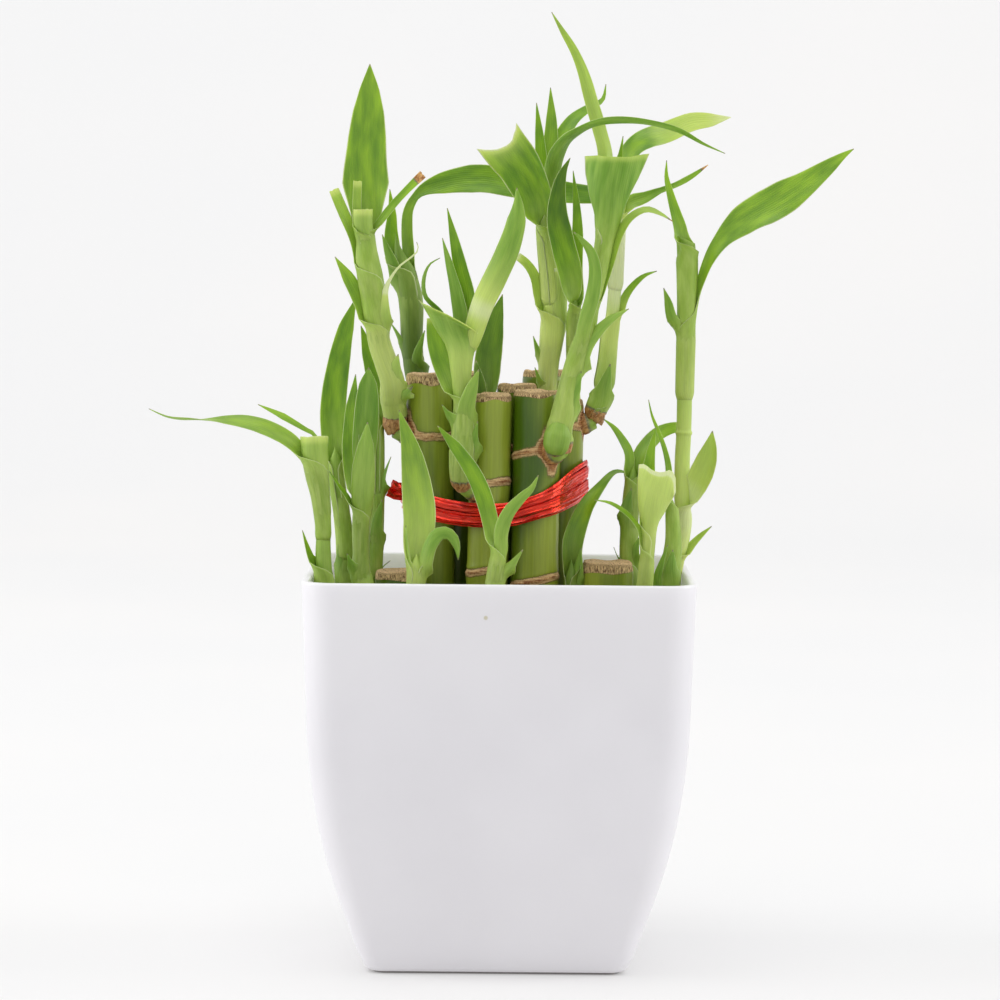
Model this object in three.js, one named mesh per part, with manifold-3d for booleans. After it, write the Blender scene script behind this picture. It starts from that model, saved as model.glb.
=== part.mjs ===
// Lucky bamboo: two tiers of cut canes with leafy shoots, tied in red foil, in a square white pot.
// Millimetres, +Z up. The origin is the middle of the pot's flat base.

import * as THREE from "three";
import Module from "manifold-3d";
import { mergeVertices } from "three/addons/utils/BufferGeometryUtils.js";

const wasm = await Module();
wasm.setup();

// Driving dimensions
const GAP = 0.3; // clearance between pieces that touch
const BLADE = 0.7; // thickness of a leaf blade
const POT_HEIGHT = 101.5;
const POT_WALL = 2;
const POT_FLOOR = 2.4;
const FILL_TOP = 74; // top of the gravel
const INNER_FOOT = 8; // lower ends of the tall canes
const OUTER_FOOT = 28; // lower ends of the short canes
const OUTER_RING = 31; // radius of the ring of short canes at their tops
const OUTER_RING_FOOT = 29; // the same at their lower ends
const OUTER_CANE = 6.7; // radius of a short cane

// Places on the plant are given as an eye in front of the pot sees them: across and up on the
// upright plane through the pot's middle, and then the depth, which is negative in front of it.
const EYE_DISTANCE = 1050;
const EYE_HEIGHT = 191;

function seen([across, up, depth]) {
  const scale = (depth + EYE_DISTANCE) / EYE_DISTANCE;
  return new THREE.Vector3(across * scale, depth, EYE_HEIGHT + (up - EYE_HEIGHT) * scale);
}

const COLOURS = {
  pot: ["#e9e8ec", 0.3, 0],
  gravel: ["#b9aea0", 0.9, 0],
  cane: ["#6f8a33", 0.45, 0],
  shoot: ["#79ab3a", 0.42, 0],
  tie: ["#c81a16", 0.25, 0.8],
};

const group = new THREE.Group();

function addNode(name, kind, geometry) {
  const [color, roughness, metalness] = COLOURS[kind];
  geometry.computeVertexNormals();
  const material = new THREE.MeshStandardMaterial({ color, roughness, metalness });
  const mesh = new THREE.Mesh(geometry, material);
  mesh.name = name;
  group.add(mesh);
  return mesh;
}

// Solids and meshes

function toSolid(positions, triangles) {
  return new wasm.Manifold(new wasm.Mesh({
    numProp: 3,
    vertProperties: new Float32Array(positions),
    triVerts: new Uint32Array(triangles),
  }));
}

const MERGE = 1e-4; // points nearer than this are one

function geometrySolid(geometry) {
  geometry.deleteAttribute("normal");
  geometry.deleteAttribute("uv");
  const merged = mergeVertices(geometry, MERGE);
  return toSolid(merged.attributes.position.array, merged.index.array);
}

function solidGeometry(solid) {
  const mesh = solid.getMesh();
  const geometry = new THREE.BufferGeometry();
  const positions = new Float32Array(mesh.vertProperties);
  geometry.setAttribute("position", new THREE.BufferAttribute(positions, 3));
  geometry.setIndex(new THREE.BufferAttribute(new Uint32Array(mesh.triVerts), 1));
  return geometry;
}

const join = (solids) => solids.reduce((sum, solid) => sum.add(solid));

// Only the outer skin of the largest body stays: loose scraps go and sealed hollows are filled.
function largestBody(geometry) {
  const index = Array.from(geometry.index.array);
  const owner = Array.from({ length: geometry.attributes.position.count }, (_, k) => k);
  const root = (k) => {
    while (owner[k] !== k) k = owner[k];
    return k;
  };
  for (let t = 0; t < index.length; t += 3) {
    owner[root(index[t + 1])] = root(index[t]);
    owner[root(index[t + 2])] = root(index[t]);
  }
  const bodies = new Map();
  for (let t = 0; t < index.length; t += 3) {
    const key = root(index[t]);
    if (!bodies.has(key)) bodies.set(key, []);
    bodies.get(key).push(...index.slice(t, t + 3));
  }
  const positions = Array.from(geometry.attributes.position.array);
  const sizes = [...bodies.values()]
    .map((triangles) => [signedVolume(positions, triangles), triangles]);
  sizes.sort((a, b) => b[0] - a[0]);
  geometry.setIndex(sizes[0][1]);
  return geometry;
}

// Six times the volume that the triangles close in, negative where they face inward.
function signedVolume(positions, triangles) {
  let volume = 0;
  const corner = (k) => new THREE.Vector3(...positions.slice(3 * k, 3 * k + 3));
  for (let t = 0; t < triangles.length; t += 3) {
    volume += corner(triangles[t]).dot(corner(triangles[t + 1]).cross(corner(triangles[t + 2])));
  }
  return volume;
}

function outward(positions, triangles) {
  if (signedVolume(positions, triangles) < 0) triangles.reverse();
  return [positions, triangles];
}

// Skin through rings of points that all have the same count.
// flipped(k) says which sides of the rings are split along the other diagonal.
function loft(rings, flipped = () => false) {
  const count = rings[0].length;
  const positions = rings.flat().flatMap((point) => [point.x, point.y, point.z]);
  const triangles = [];
  for (let i = 0; i + 1 < rings.length; i++) {
    for (let k = 0; k < count; k++) {
      const next = (k + 1) % count;
      const [a, b] = [i * count + k, i * count + next];
      const [c, d] = [a + count, b + count];
      triangles.push(...(flipped(k) ? [a, c, b, c, d, b] : [a, c, d, a, d, b]));
    }
  }
  return { positions, triangles, count, last: (rings.length - 1) * count };
}

function closedLoft(rings, cap, flipped) {
  const { positions, triangles, count, last } = loft(rings, flipped);
  for (const [a, b, c] of cap(count)) {
    triangles.push(a, b, c);
    triangles.push(last + a, last + c, last + b);
  }
  return outward(positions, triangles);
}

const fanCap = (count) => Array.from({ length: count - 2 }, (_, k) => [0, k + 1, k + 2]);

// A blade's end is a thin strip: its upper points are joined to the lower ones in pairs.
const stripCap = (count) => Array.from({ length: count / 2 - 1 }, (_, k) => [
  [k, k + 1, count - 2 - k],
  [k, count - 2 - k, count - 1 - k],
]).flat();

// Curves and lists of values along them

const smooth = (t) => THREE.MathUtils.smoothstep(t, 0, 1);

function along(values, t) {
  const place = Math.min(Math.max(t, 0), 1) * (values.length - 1);
  const low = Math.min(Math.floor(place), values.length - 1);
  const high = Math.min(low + 1, values.length - 1);
  return values[low] + (values[high] - values[low]) * (place - low);
}

function ringAround(centre, direction, radius, sides) {
  const side = new THREE.Vector3(1, 0, 0).projectOnPlane(direction).normalize();
  const other = direction.clone().cross(side).normalize();
  return Array.from({ length: sides }, (_, k) => {
    const angle = (2 * Math.PI * k) / sides;
    return centre.clone()
      .addScaledVector(side, radius * Math.cos(angle))
      .addScaledVector(other, radius * Math.sin(angle));
  });
}

// A stem: points as seen, each with a radius. place(up) finds the stem at a seen height.
function makeStem(points) {
  const curve = new THREE.CatmullRomCurve3(points.map(seen), false, "centripetal");
  const steps = points.length - 1;
  const sample = (t) => ({
    point: curve.getPoint(t),
    direction: curve.getTangent(t),
    radius: along(points.map((p) => p[3]), t),
  });
  const place = (up) => {
    let k = 0;
    while (k < steps - 1 && points[k + 1][1] < up) k++;
    const part = (up - points[k][1]) / (points[k + 1][1] - points[k][1]);
    return sample((k + Math.min(Math.max(part, 0), 1)) / steps);
  };
  return { sample, place, steps };
}

const STEM_SIDES = 6;

function stemSolid(stem) {
  const rings = [];
  for (let k = 0; k <= stem.steps; k++) {
    const { point, direction, radius } = stem.sample(k / stem.steps);
    rings.push(ringAround(point, direction, radius, STEM_SIDES));
  }
  return toSolid(...closedLoft(rings, fanCap));
}

// Leaves. A blade leaves the stem at the seen height "at" on the side "side", in degrees round the
// stem from the front, and follows "path" to its tip. "w" is its width and "curl" half the angle
// that its section bends through, both as lists along the leaf. "face" turns its upper side: 0
// towards the eye, 180 away from it. "skew" slants its across lines and "notch" bows them.
const CURL = [60, 45, 28, 20, 15, 11, 7];
const FRAME_STEPS = 60;
const ARC_PARTS = 400; // parts in which a leaf's path is measured
const ROOT_DEPTH = 2.5; // how far below its leaving point a blade starts, inside the stem
const ROOT_START = 0.3; // how far from the stem's middle it starts there, in stem radii
const ROOT_LEAVE = 0.8; // the same at its leaving point
const ROOT_WIDTH = 1.1; // width of its root, in stem radii
const ROOT_END = 0.16; // share of the leaf over which it reaches its own width
const TURN_END = 0.25; // share of the leaf over which the blade turns to its own facing

const degrees = (vector, aside, front) => (
  THREE.MathUtils.radToDeg(Math.atan2(vector.dot(aside), vector.dot(front))));

function leafFrames(leaf, stem) {
  const foot = stem.place(leaf.at);
  const low = stem.place(leaf.at - ROOT_DEPTH);
  const turn = THREE.MathUtils.degToRad(leaf.side);
  const away = new THREE.Vector3(Math.sin(turn), -Math.cos(turn), 0);
  away.projectOnPlane(foot.direction).normalize();
  const curve = new THREE.CatmullRomCurve3([
    low.point.addScaledVector(away, low.radius * ROOT_START),
    foot.point.addScaledVector(away, foot.radius * ROOT_LEAVE),
    ...leaf.path.map(seen),
  ], false, "centripetal");
  curve.arcLengthDivisions = ARC_PARTS;
  const frames = [];
  let upper = away.clone().negate();
  let first = 0;
  for (let k = 0; k <= FRAME_STEPS; k++) {
    const t = k / FRAME_STEPS;
    const direction = curve.getTangentAt(t);
    upper = upper.projectOnPlane(direction).normalize();
    let normal = upper.clone();
    if (leaf.face) {
      const front = new THREE.Vector3(0, -1, 0).projectOnPlane(direction).normalize();
      const aside = direction.clone().cross(front);
      if (k === 0) first = degrees(normal, aside, front);
      const own = along(leaf.face, t);
      const short = ((((own - first) % 360) + 540) % 360) - 180;
      const angle = THREE.MathUtils.degToRad(own - short * (1 - smooth(t / TURN_END)));
      normal = front.multiplyScalar(Math.cos(angle)).addScaledVector(aside, Math.sin(angle));
    }
    const half = THREE.MathUtils.degToRad(along(leaf.curl ?? CURL, t));
    const grown = smooth(t / ROOT_END);
    const width = THREE.MathUtils.lerp(ROOT_WIDTH * foot.radius, along(leaf.w, t), grown);
    const slant = leaf.skew ? along(leaf.skew, t) : 0;
    const notch = leaf.notch ? along(leaf.notch, t) : 0;
    frames.push({ point: curve.getPointAt(t), direction, normal, half, width, slant, notch });
  }
  return frames;
}

// The frames at which a leaf's faces meet: their count goes with its length and its bends.
function stationsOf(frames) {
  const cost = [0];
  for (let k = 1; k < frames.length; k++) {
    const bend = frames[k].direction.angleTo(frames[k - 1].direction);
    const step = frames[k].point.distanceTo(frames[k - 1].point);
    cost.push(cost[k - 1] + step / STATION + bend / STATION_BEND);
  }
  const total = cost[cost.length - 1];
  const count = Math.min(Math.max(Math.round(total), LEAST_STATIONS), MOST_STATIONS);
  return Array.from({ length: count + 1 }, (_, k) => {
    const place = cost.findIndex((value) => value >= (total * k) / count - ROUNDING);
    return frames[place];
  });
}

function bladeRing(frame, parts) {
  const across = frame.direction.clone().cross(frame.normal);
  const bend = frame.width / (2 * frame.half);
  const upper = [];
  const lower = [];
  for (let j = 0; j <= parts; j++) {
    const share = (2 * j) / parts - 1;
    const angle = frame.half * share;
    const middle = frame.point.clone()
      .addScaledVector(across, bend * Math.sin(angle))
      .addScaledVector(frame.normal, bend * (1 - Math.cos(angle)))
      .addScaledVector(frame.direction, frame.slant * share - frame.notch * (1 - share * share));
    const out = frame.normal.clone().multiplyScalar(Math.cos(angle));
    out.addScaledVector(across, -Math.sin(angle));
    upper.push(middle.clone().addScaledVector(out, BLADE / 2));
    lower.unshift(middle.addScaledVector(out, -BLADE / 2));
  }
  return [...upper, ...lower];
}

const WIDE_LEAF = 11; // a blade wider than this has more strips across
const [FEW_STRIPS, MORE_STRIPS] = [2, 4];
const STATION = 15; // length of a straight blade for each station along it
const STATION_BEND = 0.7; // bend in radians for each further station
const LEAST_STATIONS = 2;
const MOST_STATIONS = 8;
const ROUNDING = 1e-9;

function leafSolid(leaf, stem) {
  const parts = Math.max(...leaf.w) > WIDE_LEAF ? MORE_STRIPS : FEW_STRIPS;
  const rings = stationsOf(leafFrames(leaf, stem)).map((frame) => bladeRing(frame, parts));
  return toSolid(...closedLoft(rings, stripCap, (k) => k > parts));
}

// Shoots: "root" names the cane that a shoot grows from, the azimuth on it, the true height and the
// root's radius. "stem" points, further on, are across, up, depth and radius.
const SHOOTS = {
  shoot_left_1: {
    root: ["outer_cane_11", -78, 78, 1.8],
    stem: [[-38.5, 82, -23, 2], [-43, 88, -26.5, 2.2], [-45.4, 95, -28, 2.3],
      [-46.2, 105, -28, 2.1], [-46.2, 112, -28, 1.8], [-47, 120, -28, 2.2], [-48, 126, -28, 2.8],
      [-48.6, 131, -28, 3.2]],
    leaves: [
      { at: 126, side: 0, w: [15, 15.6, 16.2], path: [[-48.7, 131, -31.4], [-48.9, 135.3, -31.8]],
        curl: [150, 140, 132], face: [180] },
      { at: 126, side: -90, w: [3, 4.6, 5, 4.6, 3, 2, 0.8], face: [60, 40, 30, 60, 110, 120],
        path: [[-54, 133, -28], [-60, 137, -28], [-66, 139, -28], [-72, 139.6, -28],
          [-80, 139.8, -27], [-87, 140.4, -26], [-92, 142.5, -25]] },
      { at: 127, side: -150, w: [2, 1.4, 1.6, 2.4, 0.7], face: [60, 50, 40],
        path: [[-48.5, 135.6, -24.5], [-51.5, 137.6, -25], [-57, 140.8, -25],
          [-63.5, 143.9, -25]] },
      { at: 99, side: -90, w: [3.4, 3, 2, 0.6], face: [50],
        path: [[-49.8, 104.5, -28], [-51.7, 111, -28]] },
    ],
  },
  shoot_left_2: {
    root: ["outer_cane_10", -110, 84, 1.7],
    stem: [[-39.6, 89, -10, 2.1], [-40.4, 97, -12, 2.3], [-40.5, 107, -12, 2.1],
      [-41.5, 116, -12, 1.9], [-43, 126, -12, 2], [-43.2, 133, -12, 1.8]],
    leaves: [
      { at: 128, side: 180, w: [5, 6.6, 7.1, 6.6, 5.6, 4, 0.8], face: [0],
        path: [[-43.8, 137, -10], [-43.6, 146, -9], [-42.4, 155, -8.5], [-40.6, 164, -8.5],
          [-38, 172, -9]] },
      { at: 98, side: -60, w: [4.4, 3.8, 2.4, 0.6], face: [150],
        path: [[-42, 102.5, -13.6], [-42.2, 107.5, -13.6]] },
      { at: 117, side: -70, w: [4.4, 3.4, 2.2, 0.6], face: [130],
        path: [[-44, 122, -12.6], [-44.6, 128, -12.6]] },
    ],
  },
  shoot_left_3: {
    root: ["outer_cane_11", -48, 88, 1.7],
    stem: [[-34.2, 93, -24.4, 2.1], [-36.1, 98.5, -24, 2.2], [-36.3, 105, -24, 1.7],
      [-36.3, 113, -24, 1.9], [-35.7, 120, -24, 2], [-35.3, 127, -24, 1.6]],
    leaves: [
      { at: 114, side: 0, w: [4.5, 5.6, 6.4, 6, 4, 0.8], face: [180],
        path: [[-36, 121, -27], [-35.7, 128, -27.6], [-35.2, 134, -27.6], [-34.8, 139.5, -26.8]] },
      { at: 118, side: -140, w: [4, 5, 5, 4, 0.8], face: [-20],
        path: [[-38.4, 126, -21.5], [-39, 135, -20.5], [-38.6, 144, -20.5], [-38, 152, -21]] },
      { at: 122, side: 180, w: [4.4, 5, 5.6, 6.2, 6.6, 6.6, 6.4, 5.8, 4.4, 0.8], face: [180],
        path: [[-35.6, 132, -21.6], [-35, 143, -22], [-34.6, 153.8, -22.4]] },
      { at: 114, side: -90, w: [4, 3.4, 2.2, 0.6], face: [90, 70, 60],
        path: [[-40.2, 120, -25], [-42.3, 122.8, -25.5], [-44.7, 126.5, -26]] },
      { at: 98, side: -50, w: [4, 3.4, 2.2, 0.6], face: [160],
        path: [[-38.6, 101.5, -26], [-40, 105, -26.2]] },
    ],
  },
  shoot_left_4: {
    root: ["outer_cane_10", -45, 86, 1.3],
    stem: [[-33.6, 92, -11.4, 1.4], [-32.7, 99, -12.2, 1.5], [-32.3, 110, -12, 1.6],
      [-32.1, 122, -11, 1.6], [-32, 134, -8.5, 1.5], [-32.2, 142, -6.5, 1.3]],
    leaves: [
      { at: 120, side: 60, w: [3.5, 2.6, 1.6, 0.6], face: [120],
        path: [[-30.3, 126, -12.6], [-28.6, 130.5, -12.6]] },
      { at: 138, side: 180, w: [4, 5, 5, 4, 0.8], face: [0],
        path: [[-32.3, 147, -5.4], [-33.8, 155, -4.4], [-35.4, 160.5, -4], [-36.7, 164.7, -4]] },
      { at: 107, side: 20, w: [4.5, 4, 2.6, 0.6], face: [170],
        path: [[-32.2, 113, -14.2], [-30.8, 119.3, -14.2]] },
      { at: 98, side: 90, w: [2.6, 2, 1.4, 0.6],
        path: [[-30.6, 101.4, -10.6], [-28.6, 103.2, -9.6]] },
    ],
  },
  shoot_inner_1: {
    root: ["inner_cane_1", -74, 137.5, 2.4],
    stem: [[-27.6, 141.5, -9.4, 2.6], [-28.4, 146, -11.6, 2.7], [-28.3, 150, -13, 2.6],
      [-30, 155, -13, 2.4], [-31.7, 160, -13, 2.3], [-32.8, 166, -13, 2.4], [-33.4, 172, -13, 2.8],
      [-34.5, 178, -13, 2.9], [-35.3, 183, -13, 2.5], [-35.8, 189, -12.5, 1.8],
      [-36, 194, -12, 1.4]],
    leaves: [
      { at: 186, side: 180, w: [5, 6.6, 9.5, 12.6, 11, 9.9, 8.2, 5, 0.7], face: [0],
        path: [[-35.5, 195, -9.5], [-35.7, 205, -8.5], [-35.3, 215, -8.5], [-34.9, 225, -9.5],
          [-34.8, 232.7, -11]] },
      { at: 176, side: -100, w: [4, 3, 3.2, 3.4, 3], face: [30],
        path: [[-38.2, 186, -12], [-41, 193, -12], [-44, 200, -12]] },
      { at: 163, side: -90, w: [4, 4, 4.1, 3.4, 0.8], face: [20],
        path: [[-37, 171, -12.5], [-40.3, 177.5, -12.5], [-43.6, 182.6, -12.5]] },
      { at: 184, side: 20, w: [6.5, 6.5, 6.5], path: [[-36.3, 190, -15], [-36.5, 195, -15]],
        curl: [90, 70, 65], face: [180] },
      { at: 186, side: -60, w: [2.6, 2.4, 2.2], face: [0],
        path: [[-37.9, 193, -13.6], [-37.8, 202.3, -13.6]] },
      { at: 186, side: 90, w: [3, 2.4, 2.2, 2.6], face: [-30],
        path: [[-32.5, 190.5, -12], [-29, 195.5, -12], [-25, 200, -12], [-20.8, 204.2, -12]] },
      { at: 161, side: 50, w: [4.4, 5.4, 4.6, 3, 1], face: [175],
        path: [[-30.9, 167.5, -15.8], [-30.2, 174.6, -15.2]] },
      { at: 146, side: 25, w: [5.4, 5, 4.4, 0.8], face: [180],
        path: [[-27.9, 152, -15.9], [-26.9, 157.4, -15.6]] },
      { at: 143.5, side: 50, w: [5, 4, 3, 0.6], face: [170],
        path: [[-25.2, 146.5, -14.6], [-23, 149, -14.4]] },
    ],
  },
  shoot_inner_2: {
    root: ["inner_cane_5", -120, 138.5, 1.7],
    stem: [[-20.2, 143.5, 9.6, 2], [-22, 150, 12.5, 2.2], [-23.3, 160, 13, 2.5],
      [-23.6, 170, 13, 2.9], [-25, 178, 13, 2.9], [-27, 184, 13, 2.2], [-28, 189, 13, 1.4]],
    leaves: [
      { at: 172, side: -60, w: [6, 5, 4, 2.4, 0.6], face: [160],
        path: [[-28.3, 180, 11], [-30, 184.5, 10.5], [-31.3, 188.5, 10.5]] },
      { at: 178, side: -120, w: [4, 4.6, 4, 2.4, 0.6], face: [0],
        path: [[-28.9, 188, 14.5], [-28.8, 194, 15], [-29.4, 200.3, 15]] },
      { at: 172, side: 110, w: [3.4, 3.5, 3.6, 3.2, 2.2, 6, 8.2, 8, 7.4, 6.6, 5.4, 3.6, 0.8],
        face: [0, 20, -10, -20, -20, -20, -20],
        path: [[-24, 182, 15], [-24.9, 190, 16], [-24.3, 195.5, 17], [-21.5, 199.5, 18],
          [-15, 202, 19], [-6, 203, 20], [4, 201.6, 20], [14, 200, 20], [24, 199.2, 20],
          [32, 198.5, 20], [36.6, 199.4, 20]] },
      { at: 150, side: 50, w: [4.5, 4.2, 3.2, 1.8, 0.6], face: [170],
        path: [[-22, 156.5, 9.8], [-21, 160.5, 9.5], [-20, 163.6, 9.5]] },
      { at: 156, side: -80, w: [3.4, 2.8, 1.8, 0.6], face: [140],
        path: [[-26.6, 161.5, 12], [-28.9, 165.5, 12]] },
    ],
  },
  shoot_inner_3: {
    root: ["inner_cane_2", -50, 123.5, 2.3],
    stem: [[-10, 126.5, -19.8, 2.7], [-9.8, 131, -20, 3], [-9.5, 136, -19.4, 2.8],
      [-9.6, 141, -19.2, 2.3], [-10, 146, -19, 1.7], [-10.4, 150, -19, 1.9], [-10.3, 155, -19, 2.2],
      [-10.2, 159, -18.5, 2]],
    leaves: [
      { at: 146, side: 0, w: [8, 7.8, 8.5, 10.2, 13], curl: [110, 95, 75, 60, 48], face: [180],
        skew: [0, 0, 1, 4, 7],
        path: [[-10.5, 153, -21.4], [-11, 159, -22], [-12.8, 164, -21.6], [-14.8, 169.2, -20.6]] },
      { at: 136, side: -70, w: [4, 3.5, 2.4, 0.6], face: [140],
        path: [[-13.2, 140.5, -20.4], [-15.4, 144.3, -20.4]] },
      { at: 137, side: 30, w: [5, 4.6, 4.4, 3.2, 0.6], face: [180],
        path: [[-9, 143, -22], [-7.8, 148, -22.4], [-5.8, 153.6, -22]] },
      { at: 129, side: 50, w: [4, 3.2, 2.2, 0.6], face: [170],
        path: [[-7, 135, -22], [-6, 140, -22]] },
      { at: 144, side: -110, w: [4, 5, 5.2, 4.6, 3], face: [0],
        path: [[-14, 151.5, -17], [-16.3, 157.5, -16.5], [-17.6, 163, -16], [-18, 167, -16]] },
      { at: 155, side: 180, w: [4, 5, 5, 4.6, 3.8, 2.2, 0.6], face: [-15],
        path: [[-9, 165, -16.4], [-9.2, 173, -15.5], [-10.8, 180, -15], [-12.4, 187, -15],
          [-14.4, 195.5, -15.5]] },
      { at: 155, side: -120, w: [4, 4.6, 4.6, 3.8, 2.4, 0.6], face: [150],
        path: [[-10.8, 165, -17], [-11.9, 173, -16.8], [-13.6, 180, -17], [-15.6, 187.7, -17.5]] },
      { at: 155, side: -100, w: [2, 1.8, 1.8, 1.5, 1.1, 0.6], face: [150],
        path: [[-15.5, 167.5, -18], [-20, 172.5, -18], [-20.4, 177, -18], [-18.9, 180.8, -18],
          [-16.2, 182.5, -18]] },
      { at: 155, side: 30, w: [5, 5.4, 6, 6.3, 6.1, 5, 0.8], face: [175],
        path: [[-7, 164.5, -21], [-4.9, 171, -21.8], [-1.6, 178, -22.3], [1.3, 184.5, -22.5],
          [3.3, 191, -22.3], [4, 196.5, -22], [3.6, 201, -21.5]] },
    ],
  },
  shoot_inner_4: {
    root: ["inner_cane_4", -95, 137, 1.2],
    stem: [[-3.5, 139.5, -0.8, 1.3], [-3.8, 144, -1.4, 1.5], [-3.8, 150, -1.5, 1.5]],
    leaves: [
      { at: 145, side: 180, w: [4, 6, 7.4, 7.3, 6, 3.6, 0.8], face: [10],
        path: [[-3.9, 152, 1], [-3.3, 158, 1.5], [-2, 165, 1.5], [0.2, 173.2, 1]] },
      { at: 143, side: -60, w: [4, 4, 3.4, 0.8], face: [150],
        path: [[-5.6, 149, -2.6], [-6.6, 156, -2.8]] },
    ],
  },
  shoot_inner_5: {
    root: ["inner_cane_4", 118, 134, 1.3],
    stem: [[11.6, 137.5, 3.9, 1.4], [12.1, 144, 4.6, 1.7], [12.3, 152, 4.6, 1.9],
      [12.5, 156.5, 4.6, 2.2], [13.3, 163, 4.6, 2.7], [13.5, 170, 4.6, 2.9], [13, 177, 4.6, 2.7],
      [12, 184, 4.6, 2.3], [11, 191, 4.6, 1.9], [10.5, 196, 4.6, 1.6]],
    leaves: [
      { at: 165, side: -90, w: [4, 3.4, 3.4, 3, 2.4], face: [30],
        path: [[9.6, 173, 4.6], [8.6, 177.5, 4.6], [6.6, 181, 4.6], [4, 183.2, 4.6]] },
      { at: 153, side: -80, w: [4, 3.2, 2, 0.6], face: [140],
        path: [[9.6, 158, 3.6], [8.3, 162.4, 3.4]] },
      { at: 147, side: -60, w: [3.5, 3, 1.8, 0.6], face: [140],
        path: [[9.9, 151, 2.6], [8.8, 154.2, 2.4]] },
      { at: 160, side: 60, w: [8, 8.4, 7.4, 6.4], curl: [100, 90, 80, 70], face: [180],
        path: [[14.4, 170, 1.8], [14.8, 176, 1.6], [14.9, 180.2, 1.6]] },
      { at: 188, side: -60, w: [6, 8, 10.5, 12, 13, 13.3], curl: [90, 60, 45, 40, 35, 30],
        face: [-15], notch: [0, 0, 0, 0, 1, 2.6],
        path: [[9.2, 197, 2.5], [7.3, 202, 1.5], [4.5, 206.8, 0.5], [1.5, 210.8, -0.5],
          [-0.8, 213.8, -1]] },
      { at: 188, side: 180, w: [4, 4, 3.8, 3.4, 2.2, 0.6], face: [0],
        path: [[10, 203, 6.4], [9.8, 210, 6.8], [9.3, 216, 6.8], [8.6, 223, 6.6]] },
      { at: 190, side: 160, w: [4, 4.6, 4.8, 4.4, 2.8, 0.6], face: [0],
        path: [[11.6, 203, 7.8], [12.3, 211, 8.4], [12.5, 218, 8.4], [12.2, 227, 8.2]] },
      { at: 192, side: 120, w: [3, 4.5, 5, 5, 4.4, 3, 1.8, 0.6], face: [-20],
        path: [[12.5, 204, 8], [14.5, 212, 9.5], [18, 218.5, 12], [22.5, 222, 15], [25.8, 224, 17],
          [26.6, 228, 18]] },
      { at: 190, side: 90, w: [3.4, 4.4, 5, 4.4, 3.4, 3, 3, 2.8, 2.4, 1.6, 0.6],
        face: [160, 160, 200, 230, 235, 235, 235],
        path: [[12.8, 205, 3], [15, 211.5, -4], [20, 216, -15], [26, 218.2, -20], [33, 218.6, -20],
          [40, 217.7, -20], [46, 216, -20], [52, 212.8, -20], [57.8, 210.3, -20]] },
    ],
  },
  shoot_inner_6: {
    root: ["inner_cane_6", 72, 138.5, 1.4],
    stem: [[19.5, 142, 10.6, 1.5], [19.1, 149, 7.6, 1.6], [18.8, 158, 3.6, 1.7],
      [18.8, 166, 1.6, 1.7], [18.8, 171, 1, 1.6], [18.6, 176, 0.5, 1.4]],
    leaves: [
      { at: 168, side: -30, w: [4, 5, 6.5, 6.8, 6.4, 5, 3, 0.8], face: [10],
        path: [[17.8, 178, -2.6], [15.8, 186, -3.6], [14.2, 194, -4], [14.6, 201, -4.4],
          [15.8, 205.5, -5], [17.5, 208.8, -6]] },
      { at: 168, side: 100, w: [3.5, 3.6, 3.6, 3, 1.8, 0.6], face: [0],
        path: [[19.3, 180, 1], [19.6, 189, 0.5], [19.3, 196, 0.5], [18.3, 205.5, 0.5]] },
    ],
  },
  shoot_inner_7: {
    root: ["inner_cane_3", 42, 133.5, 2.6],
    stem: [[15.2, 137, -20, 2.9], [16.1, 141.5, -20.8, 2.6], [17.3, 147, -20.6, 2.3],
      [18.4, 152, -20.4, 2.1], [20.2, 158, -19.8, 2.2], [22, 164, -19, 2.1],
      [23.3, 170, -18.5, 1.8], [24.6, 176, -18, 1.8], [25.8, 182, -17.5, 2], [26.8, 188, -17, 2.2],
      [27.4, 192, -17, 2.3]],
    leaves: [
      { at: 140, side: 40, w: [7, 6, 5, 3.2, 0.8], face: [180],
        path: [[18.3, 146, -22.8], [19.7, 150, -22.8], [21, 153.3, -22.5]] },
      { at: 152, side: 60, w: [4.5, 4, 3.8, 3.4, 2.4, 0.7], face: [150],
        path: [[22.3, 160, -21], [25.5, 164.3, -21], [29, 167.3, -21], [33.2, 169.7, -21]] },
      { at: 157, side: 0, w: [4.4, 4, 3.8, 3.8, 3.4, 2.4, 0.7], face: [170],
        path: [[21.7, 166, -21.6], [23.6, 173, -21.6], [24.3, 179, -21.6], [23.3, 184, -21.8],
          [21, 187.3, -22], [18.6, 189.6, -22]] },
      { at: 168, side: 90, w: [2.5, 2.4, 2.6, 3.2, 3.4, 3, 2.4, 1.8], face: [-30, -30, -50, -50],
        path: [[26.8, 177, -17], [28.6, 183, -17], [30.6, 189, -17.3], [33.5, 193.6, -17.6],
          [37.5, 195.6, -18], [41.5, 194.3, -18], [44.3, 192.6, -18]] },
      { at: 186, side: 0, w: [8.9, 8.2, 9.5, 12.9, 15.6, 18], curl: [100, 85, 72, 62, 52, 45],
        face: [180], skew: [0, 0, 0, -0.5, -1.5, -2.6],
        path: [[27.6, 194, -19.6], [28, 200, -20.4], [28.9, 205, -20.6], [29.7, 209.4, -20]] },
      { at: 188, side: 180, w: [4, 4.6, 5, 4.6, 3.8, 3.9, 3.5, 2.6, 1.8, 0.6], face: [-20],
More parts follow.
